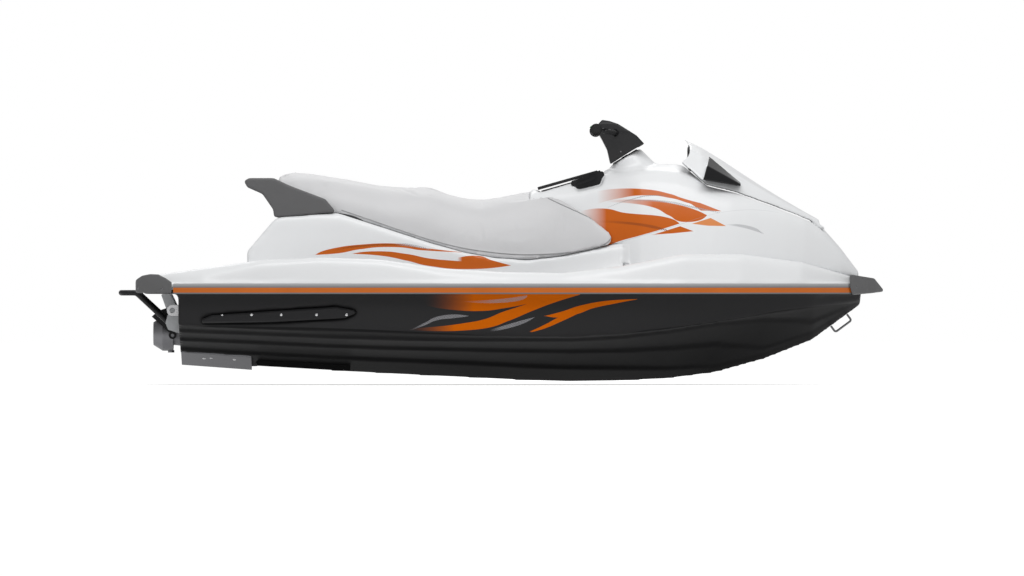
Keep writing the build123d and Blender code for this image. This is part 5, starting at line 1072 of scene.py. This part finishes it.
@dataclass
class Saddle:
    """The padded seat: its cover is blown up by a cloth run that its seams hold down.

    Attributes:
        voxel: Size of the cushion's cells.
        rounds: Rounds of smoothing before the cloth run.
        pressure: Pressure inside the cover.
        steps: Frames of the cloth run.
        reach: How far the cover may move.
        seam: Half width of the band that a seam holds.
        line: The seam in the side view, along and up, from its front end down and back.
        crossings: Places along the seat where a seam crosses its top.
        crossing_half: Half length of those seams.
        free_half: Half breadth of the top that the side seams don't hold.
        underside: Normals that point lower than this belong to the cover's underside.
        crossing_share: Half breadth of a cross seam, as a share of the side seam's.
        stiffness: Stiffness of the cover in tension and in compression.
        bending: Its stiffness in bending.
        welt: Radius of the piping.
        welt_lift: How far the piping's middle stands off the cover.
    """

    voxel: float = 0.008
    rounds: int = 14
    pressure: float = 4.0
    steps: int = 20
    reach: float = 0.007
    seam: float = 0.010
    line: tuple[tuple[float, float], ...] = (
        (0.250, 0.562), (0.302, 0.537), (0.372, 0.506), (0.442, 0.471), (0.500, 0.436), (0.522, 0.410),
        (0.520, 0.388), (0.495, 0.364), (0.439, 0.345), (0.350, 0.330), (0.261, 0.322), (0.110, 0.318),
        (-0.083, 0.340), (-0.220, 0.372), (-0.358, 0.415), (-0.510, 0.468), (-0.640, 0.512),
    )
    crossings: tuple[float, ...] = (-0.30, 0.20)
    crossing_half: float = 0.14
    free_half: float = 0.10
    underside: float = -0.6
    crossing_share: float = 0.8
    stiffness: float = 25.0
    bending: float = 1.5
    welt: float = 0.0022
    welt_lift: float = 0.0006

    def dense_line(self) -> list[tuple[float, float]]:
        """The seam with short even steps, rounded at its corners."""
        points = [Vector((x, 0, z)) for x, z in self.line]
        for _ in range(3):
            shorter = [points[0]]
            for low, high in zip(points, points[1:]):
                shorter += [low.lerp(high, 0.25), low.lerp(high, 0.75)]
            points = shorter + [points[-1]]
        return [(p.x, p.z) for p in points]

    def held(self, place: Vector, normal: Vector, line: list[tuple[float, float]]) -> bool:
        """Whether a seam or the seat's base holds the cover at a place."""
        if normal.z < self.underside:
            return True
        if any(abs(place.x - along) < self.seam * self.crossing_share for along in self.crossings):
            return abs(place.y) < self.crossing_half
        if abs(place.y) < self.free_half:
            return False
        return any((place.x - x) ** 2 + (place.z - z) ** 2 < self.seam ** 2 for x, z in line)

    def puff(self, cushion: bpy.types.Object) -> None:
        """Run the cloth and keep its form, with each point's way capped."""
        mesh = cushion.data
        line = self.dense_line()
        pins = cushion.vertex_groups.new(name="held")
        held = [v.index for v in mesh.vertices if self.held(v.co, v.normal, line)]
        pins.add(held, 1.0, "REPLACE")
        cloth = cushion.modifiers.new("cover", "CLOTH")
        settings = cloth.settings
        settings.use_pressure = True
        settings.uniform_pressure_force = self.pressure
        settings.vertex_group_mass = "held"
        settings.effector_weights.gravity = 0.0
        settings.tension_stiffness = self.stiffness
        settings.compression_stiffness = self.stiffness
        settings.bending_stiffness = self.bending
        settings.quality = 4
        cloth.point_cache.frame_start = 1
        cloth.point_cache.frame_end = self.steps
        for number in range(1, self.steps + 1):
            bpy.context.scene.frame_set(number)
        blown = cushion.evaluated_get(bpy.context.evaluated_depsgraph_get()).data
        moves = [b.co - v.co for b, v in zip(blown.vertices, mesh.vertices)]
        cushion.modifiers.clear()
        for vertex, move in zip(mesh.vertices, moves):
            vertex.co += move * min(1.0, self.reach / max(move.length, 1e-9))
        bpy.context.scene.frame_set(1)
        LOG.info("cushion: %d points held, moves up to %.4f m", len(held), max(m.length for m in moves))

    def piping(self, cushion: bpy.types.Object) -> None:
        """Lay the piping along the seam on both sides."""
        work = bmesh.new()
        for side in Side:
            found = [surface_hit(cushion, (x, side.value * BESIDE, z), (0, -side.value, 0))
                     for x, z in self.dense_line()[::2]]
            line = [hit[0] + hit[1] * self.welt_lift for hit in found if hit]
            tube(work, line, self.welt)
        finish_piece(work, "seat_piping", Body.CRAFT, PIPING)

    def build(self) -> None:
        """Make the cushion, blow it up and lay its piping."""
        cushion = Skin("seat", "seat_cover", VINYL, voxel=self.voxel, rounds=self.rounds).build()
        self.puff(cushion)
        self.piping(cushion)


@dataclass
class Controls:
    """What the rider's hands and eyes meet: grips, buttons and the display.

    Attributes:
        ribs: Ribs on a grip.
        ribbed_share: The share of a grip's length that they cover.
        rib: Radius of a rib's section.
        collar: Radius of the section of the grip's collar.
        grip_lift: How far collar and end cap stand out.
        cap_share: The end cap's radius, as a share of the grip's.
        button: Radius and height of a button.
        button_share: Where the buttons sit, as a share of the housing's length.
        button_aim: The way that a button is pressed.
        button_from: Where the ray to a button starts from the housing's middle, along and up.
        panel_from: Where the ray to the panel starts: behind its middle, and above it as a share of its height.
        display_half: Half breadth and half height of the display.
        corner: Exponent that squares off the display's outline.
        sides: Steps round that outline.
        outline_lift: The outline's way out of the panel.
        rim: Radius of the display's rim.
        pane: Thickness of its glass.
        mark: Radius of a dial mark.
        marks: Steps on the dial.
        long_every: Each so many steps a longer mark stands.
        long_mark: Where a long mark starts and ends, as shares of the dial's breadth.
        short_mark: The same for a short one.
        dial_lift: The dial's way out of the panel.
        dial_drop: How far its centre lies below the display's.
        dial_tall: Its height, as a share of the display's half height.
        head_foot: The middle of the steering head's top.
        head_lean: How far the head leans back, in degrees.
        seal: Radius and height of the seal on it.
        seal_sunk: How deep the seal starts in the head.
    """

    ribs: int = 14
    ribbed_share: float = 0.94
    rib: float = 0.0014
    collar: float = 0.0035
    grip_lift: float = 0.003
    cap_share: float = 0.92
    button: tuple[float, float] = (0.0060, 0.003)
    button_share: float = 0.22
    button_aim: Point = (0.77, 0, -0.64)
    button_from: tuple[float, float] = (-0.12, 0.10)
    panel_from: tuple[float, float] = (0.2, 0.05)
    display_half: tuple[float, float] = (0.062, 0.034)
    corner: float = 0.5
    sides: int = 48
    outline_lift: float = 0.001
    rim: float = 0.003
    pane: float = 0.0008
    mark: float = 0.0006
    marks: int = 24
    long_every: int = 4
    long_mark: tuple[float, float] = (0.74, 0.90)
    short_mark: tuple[float, float] = (0.82, 0.90)
    dial_lift: float = 0.0016
    dial_drop: float = 0.014
    dial_tall: float = 1.4
    head_foot: Point = (0.5819, 0.0, 0.74098)
    head_lean: float = 31.0
    seal: tuple[float, float] = (0.066, 0.010)
    seal_sunk: float = 0.006

    def grips(self) -> None:
        """Rib the two grips and close their ends."""
        for side in Side:
            centre, size = middle_of("grip_" + side.word)
            radius = size.z / 2
            outward = Vector((0, side.value, 0))
            work = bmesh.new()
            for number in range(self.ribs):
                along = (number - (self.ribs - 1) / 2) / self.ribs * size.y * self.ribbed_share
                hoop(work, centre + Vector((0, along, 0)), Vector((0, 1, 0)), radius, self.rib)
            inner = centre - outward * (size.y / 2 - self.grip_lift)
            hoop(work, inner, Vector((0, 1, 0)), radius + self.grip_lift, self.collar)
            round_pad(work, centre + outward * size.y / 2, outward, radius * self.cap_share, self.grip_lift)
            finish_piece(work, "grip_ribs_" + side.word, Body.BARS, GRIP_RUBBER)

    def buttons(self) -> None:
        """Set the start and stop buttons on the switch housing."""
        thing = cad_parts["switch_housing"]
        centre, size = middle_of("switch_housing")
        along, up = self.button_from
        for word, sign, finish in (("stop", 1, RED_PLASTIC), ("start", -1, GREEN_PLASTIC)):
            start = centre + Vector((along, sign * self.button_share * size.y, up))
            found = surface_hit(thing, start, self.button_aim)
            if found:
                work = bmesh.new()
                round_pad(work, *found, *self.button)
                finish_piece(work, "button_" + word, Body.BARS, finish)

    def display(self) -> None:
        """Lay the instrument's glass and dial marks on the panel."""
        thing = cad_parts["meter_panel"]
        centre, size = middle_of("meter_panel")
        behind, above = self.panel_from
        found = surface_hit(thing, (centre.x - behind, 0, centre.z + size.z * above), (1, 0, 0))
        if not found:
            return
        place, normal = found
        half_wide, half_high = self.display_half
        glass, marks = bmesh.new(), bmesh.new()

        def edge_place(angle: float) -> Vector:
            """A place on the display's rounded outline."""
            side = math.copysign(abs(math.cos(angle)) ** self.corner, math.cos(angle))
            rise = math.copysign(abs(math.sin(angle)) ** self.corner, math.sin(angle))
            return place + normal * self.outline_lift + Vector((0, half_wide * side, half_high * rise))

        rim = bmesh.new()
        line = [edge_place(2 * math.pi * (step + 0.5) / self.sides) for step in range(self.sides)]
        tube(rim, line, self.rim, 8, closed=True)
        outline = bmesh.ops.create_circle(glass, cap_ends=True, segments=self.sides, radius=1.0)["verts"]
        for vert in outline:
            vert.co = edge_place(math.atan2(vert.co.y, vert.co.x))
        bmesh.ops.solidify(glass, geom=glass.faces, thickness=self.pane)
        bmesh.ops.recalc_face_normals(glass, faces=glass.faces)
        dial = place + normal * self.dial_lift - Vector((0, 0, self.dial_drop))
        for step in range(self.marks + 1):
            angle = math.pi * step / self.marks
            out = Vector((0, half_wide * math.cos(angle), half_high * math.sin(angle) * self.dial_tall))
            near, far = self.short_mark if step % self.long_every else self.long_mark
            tube(marks, [dial + out * near, dial + out * far], self.mark, 6)
        finish_piece(rim, "display_rim", Body.HOOD, GLOSS_BLACK)
        finish_piece(glass, "display_glass", Body.HOOD, DISPLAY_GLASS)
        finish_piece(marks, "display_marks", Body.HOOD, PALE_MARK)

    def head_seal(self) -> None:
        """Close the gap below the handlebar cover with a rubber seal on the steering head."""
        work = bmesh.new()
        lean = math.radians(self.head_lean)
        axis = Vector((-math.sin(lean), 0, math.cos(lean)))
        round_pad(work, Vector(self.head_foot) - axis * self.seal_sunk, axis, *self.seal)
        finish_piece(work, "head_seal", Body.CRAFT, BLACK_PLASTIC)

    def build(self) -> None:
        """Make the controls' small parts."""
        self.head_seal()
        self.grips()
        self.buttons()
        self.display()


@dataclass(frozen=True)
class SideScrews:
    """Screws that show on each side of the craft.

    Attributes:
        node: The node that they hold, without its side's name.
        places: Where they sit, along and up.
        radius: A head's radius.
        body: The body that they ride on.
        finish: What they are made of.
        paired: Whether the node has a twin on the other side.
    """

    node: str
    places: tuple[tuple[float, float], ...]
    radius: float = 0.006
    body: Body = Body.CRAFT
    finish: Finish = DARK_STEEL
    paired: bool = False

    def build(self, side: Side) -> None:
        """Drive the screws from one side."""
        node = f"{self.node}_{side.word}" if self.paired else self.node
        word = "screws" if self.paired else "screws_" + side.word
        starts = [(x, side.value * BESIDE, z) for x, z in self.places]
        ScrewRow(node, starts, (0, -side.value, 0), self.radius, self.body, self.finish, word).build()


@dataclass
class Fittings:
    """Nodes that keep their own form, and the screws in them.

    Attributes:
        side_screws: The screws that show on each side.
        astern: Where the rays to the nozzle's flange start, behind the craft.
        flange_bolts: Bolts in that flange.
        flange_ring: Radius of their circle, as a share of the nozzle's height.
        flange_bolt: Radius of a bolt's head there.
        plate_along: Where the ride plate's bolts sit along the craft.
        plate_half: Their way from the centreline.
        plate_bolt: Radius of a bolt's head there.
        cap_above: Where the ray to the fuel cap starts, above its middle.
        cap_bar: Reach of the cap's bar as a share of its radius, then the bar's lift and radius.
        cap_hoop: Radius of the cap's hoop as a share of its own, then its section's radius.
    """

    side_screws: tuple[SideScrews, ...] = (
        SideScrews("sponson", tuple((x, 0.062) for x in (-1.144, -1.018, -0.891, -0.740, -0.612)),
                   finish=DRAWN_STEEL, paired=True),
        SideScrews("stern_corner", ((-1.504, 0.176), (-1.402, 0.171)), paired=True),
        SideScrews("ride_plate", ((-1.2305, -0.127), (-1.100, -0.131)), 0.008, finish=DRAWN_STEEL),
        SideScrews("bow_bumper", ((1.575, 0.182), (1.600, 0.215)), 0.005),
        SideScrews("grab_handle", ((-0.700, 0.575), (-0.790, 0.585)), 0.005),
        SideScrews("handlebar_cover", ((0.563, 0.763),), 0.004, Body.BARS),
    )
    astern: float = -2.0
    flange_bolts: int = 8
    flange_ring: float = 0.44
    flange_bolt: float = 0.006
    plate_along: tuple[float, ...] = (-1.36, -1.20, -1.10)
    plate_half: float = 0.10
    plate_bolt: float = 0.007
    cap_above: float = 0.3
    cap_bar: tuple[float, float, float] = (0.8, 0.002, 0.006)
    cap_hoop: tuple[float, float] = (0.92, 0.0025)

    def dress_nodes(self) -> None:
        """Give each kept node its finish."""
        finishes: dict[str, Finish] = {
            "rail": RAIL_RUBBER, "stripe": STRIPE_PAINT, "sponson": BLACK_PLASTIC,
            "mirror_glass": MIRROR_SILVER, "footwell_mat": MAT_LONG, "stern_eye": DRAWN_STEEL,
            "step_bracket": CAST_METAL, "grip": GRIP_RUBBER,
        }
        for start, finish in finishes.items():
            for side in Side:
                dress(f"{start}_{side.word}", finish)
        single: dict[str, Finish] = {
            "boarding_mat": MAT_CROSS, "bow_eye": DARK_STEEL,
            # The intake grate is cast metal, darkened as painted shade for its place beneath the hull
            "ride_plate": GREY_CAST, "intake_grate": SHADED_CAST,
            "jet_pump": CAST_METAL, "discharge_nozzle": GREY_CAST, "steering_nozzle": GREY_CAST,
            "impeller": DRAWN_STEEL, "reverse_gate": BLACK_PLASTIC, "boarding_step": BLACK_PLASTIC,
            "handlebar": BLACK_PLASTIC, "steering_column": DRAWN_STEEL, "throttle_lever": BLACK_PLASTIC,
            "switch_housing": BLACK_PLASTIC, "shift_panel": BLACK_PLASTIC, "shift_lever": BLACK_PLASTIC,
            "meter_panel": BLACK_PLASTIC, "glove_box": BLACK_PLASTIC, "glove_lid": DARK_GREY_PLASTIC,
            "glove_hinge_pin": DRAWN_STEEL, "hood_hinge_pin": DRAWN_STEEL, "storage_bin": BLACK_PLASTIC,
            "engine_block": IRON, "fuel_cap": BLACK_PLASTIC,
        }
        for node, finish in single.items():
            dress(node, finish)

    def drive_side_screws(self) -> None:
        """Drive the screws that show on each side."""
        for side in Side:
            for row in self.side_screws:
                row.build(side)
            bracket = middle_of("step_bracket_" + side.word)[0]
            start = (bracket.x, side.value * BESIDE, bracket.z)
            ScrewRow("step_bracket_" + side.word, [start], (0, -side.value, 0)).build()

    def pump_bolts(self) -> None:
        """Bolt the nozzle's flange and the ride plate's rear edge."""
        centre, size = middle_of("discharge_nozzle")
        starts = []
        out = size.z * self.flange_ring
        for number in range(self.flange_bolts):
            angle = 2 * math.pi * (number + 0.5) / self.flange_bolts
            starts.append((self.astern, math.cos(angle) * out, centre.z + math.sin(angle) * out))
        ScrewRow("discharge_nozzle", starts, (1, 0, 0), self.flange_bolt, word="flange_bolts").build()
        beneath = [(x, y, BENEATH) for x in self.plate_along for y in (-self.plate_half, self.plate_half)]
        ScrewRow("ride_plate", beneath, (0, 0, 1), self.plate_bolt, word="lower_bolts").build()

    def cap_grip(self) -> None:
        """Give the fuel cap its finger ribs."""
        centre, size = middle_of("fuel_cap")
        above = (centre.x, centre.y, centre.z + self.cap_above)
        found = surface_hit(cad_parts["fuel_cap"], above, (0, 0, -1))
        if not found:
            return
        work = bmesh.new()
        top = found[0]
        radius = min(size.x, size.y) / 2
        reach, lift, thick = self.cap_bar
        ends = [top + Vector((sign * radius * reach, 0, lift)) for sign in (-1, 1)]
        tube(work, ends, thick, 12)
        ring, section = self.cap_hoop
        hoop(work, top, Vector((0, 0, 1)), radius * ring, section)
        finish_piece(work, "fuel_cap_grip", Body.CRAFT, BLACK_PLASTIC)

    def build(self) -> None:
        """Dress the nodes and add the screws."""
        self.dress_nodes()
        self.drive_side_screws()
        self.pump_bolts()
        self.cap_grip()


@dataclass
class Studio:
    """Floor, lamps, world and camera.

    Attributes:
        distance: From the camera to the craft's middle plane.
        per_pixel: Metres on that plane that one pixel of the photograph's frame covers.
        aim: Where the camera's axis meets that plane, along and up.
        frame_pixels: Width of the photograph's frame.
        sensor: Width of the camera's sensor in millimetres.
        floor: Height of the floor.
        floor_half: Half breadth of the floor.
        paper: The floor's grey.
        floor_glow: The floor's own light, where the camera or a gloss looks at it.
        room: Strength of the room's light, which the camera sees as plain white.
        lit: Where the softboxes face.
        lamps: The name, place, size and power of each softbox.
    """

    distance: float = 60.0
    per_pixel: float = 0.00431
    aim: tuple[float, float] = (0.0948, 0.1767)
    frame_pixels: int = 1024
    sensor: float = 36.0
    floor: float = -0.240
    floor_half: float = 45.0
    paper: float = 0.8
    floor_glow: float = 0.60
    room: float = 0.54
    lit: Point = (0.0, 0.0, 0.2)
    lamps: tuple[tuple[str, Point, tuple[float, float], float], ...] = (
        ("key", (0.4, -3.0, 5.2), (6.0, 2.0), 175.0),
        ("rear", (-0.6, 3.6, 3.4), (5.0, 2.0), 60.0),
    )

    def camera(self) -> None:
        """Set the camera at the photograph's angle."""
        data = bpy.data.cameras.new("camera")
        data.sensor_width = self.sensor
        data.lens = self.sensor * self.distance / (self.frame_pixels * self.per_pixel)
        data.clip_end = 5 * self.distance
        camera = in_scene("camera", data)
        camera.location = (self.aim[0], -self.distance, self.aim[1])
        camera.rotation_euler = (math.pi / 2, 0, 0)
        bpy.context.scene.camera = camera

    def lamp(self, name: str, place: Point, size: tuple[float, float], power: float) -> None:
        """Hang one softbox that faces the craft."""
        data = bpy.data.lights.new(name, "AREA")
        data.shape = "RECTANGLE"
        data.size, data.size_y = size
        data.energy = power
        lamp = in_scene(name, data)
        lamp.location = place
        lamp.rotation_euler = (Vector(self.lit) - Vector(place)).to_track_quat("-Z", "Y").to_euler()

    def backdrop(self) -> None:
        """Lay the near-white floor and light the room."""
        work = bmesh.new()
        bmesh.ops.create_grid(work, x_segments=1, y_segments=1, size=self.floor_half)
        bmesh.ops.translate(work, vec=(0, 0, self.floor), verts=work.verts)
        mesh = bpy.data.meshes.new("floor")
        work.to_mesh(mesh)
        work.free()
        floor = in_scene("floor", mesh)
        tree = ShaderTree("floor_paper")
        tree.values(Base_Color=opaque((self.paper,) * 3), Roughness=0.9, Specular_IOR_Level=0.0)
        seen = tree.add("ShaderNodeLightPath")
        glow = tree.math("MAXIMUM", seen.outputs["Is Camera Ray"], seen.outputs["Is Glossy Ray"])
        strength = tree.math("MULTIPLY", glow, self.floor_glow)
        tree.values(Emission_Color=opaque((1, 1, 1)), Emission_Strength=strength)
        mesh.materials.append(tree.material)

    def world(self) -> None:
        """Light the room evenly, with a white ground behind the craft."""
        world = bpy.data.worlds.new("room")
        world.use_nodes = True
        bpy.context.scene.world = world
        nodes, links = world.node_tree.nodes, world.node_tree.links
        ground = nodes["Background"]
        seen = nodes.new("ShaderNodeLightPath")
        level = nodes.new("ShaderNodeMapRange")
        level.inputs["To Min"].default_value = self.room
        level.inputs["To Max"].default_value = 1.0
        links.new(seen.outputs["Is Camera Ray"], level.inputs["Value"])
        links.new(level.outputs[0], ground.inputs["Strength"])
        ground.inputs["Color"].default_value = (1, 1, 1, 1)

    def build(self) -> None:
        """Set up everything round the craft."""
        bpy.context.scene.view_settings.view_transform = "Standard"
        self.camera()
        self.backdrop()
        self.world()
        for lamp in self.lamps:
            self.lamp(*lamp)


def main() -> None:
    """Build the craft's looks in order and report each piece."""
    logging.basicConfig(level=logging.INFO, format="%(message)s")
    Saddle().build()
    Studio().build()
    Shells().build()
    Fairing().build()
    IntakeWalls().build()
    Controls().build()
    Fittings().build()


if __name__ == "__main__":
    main()
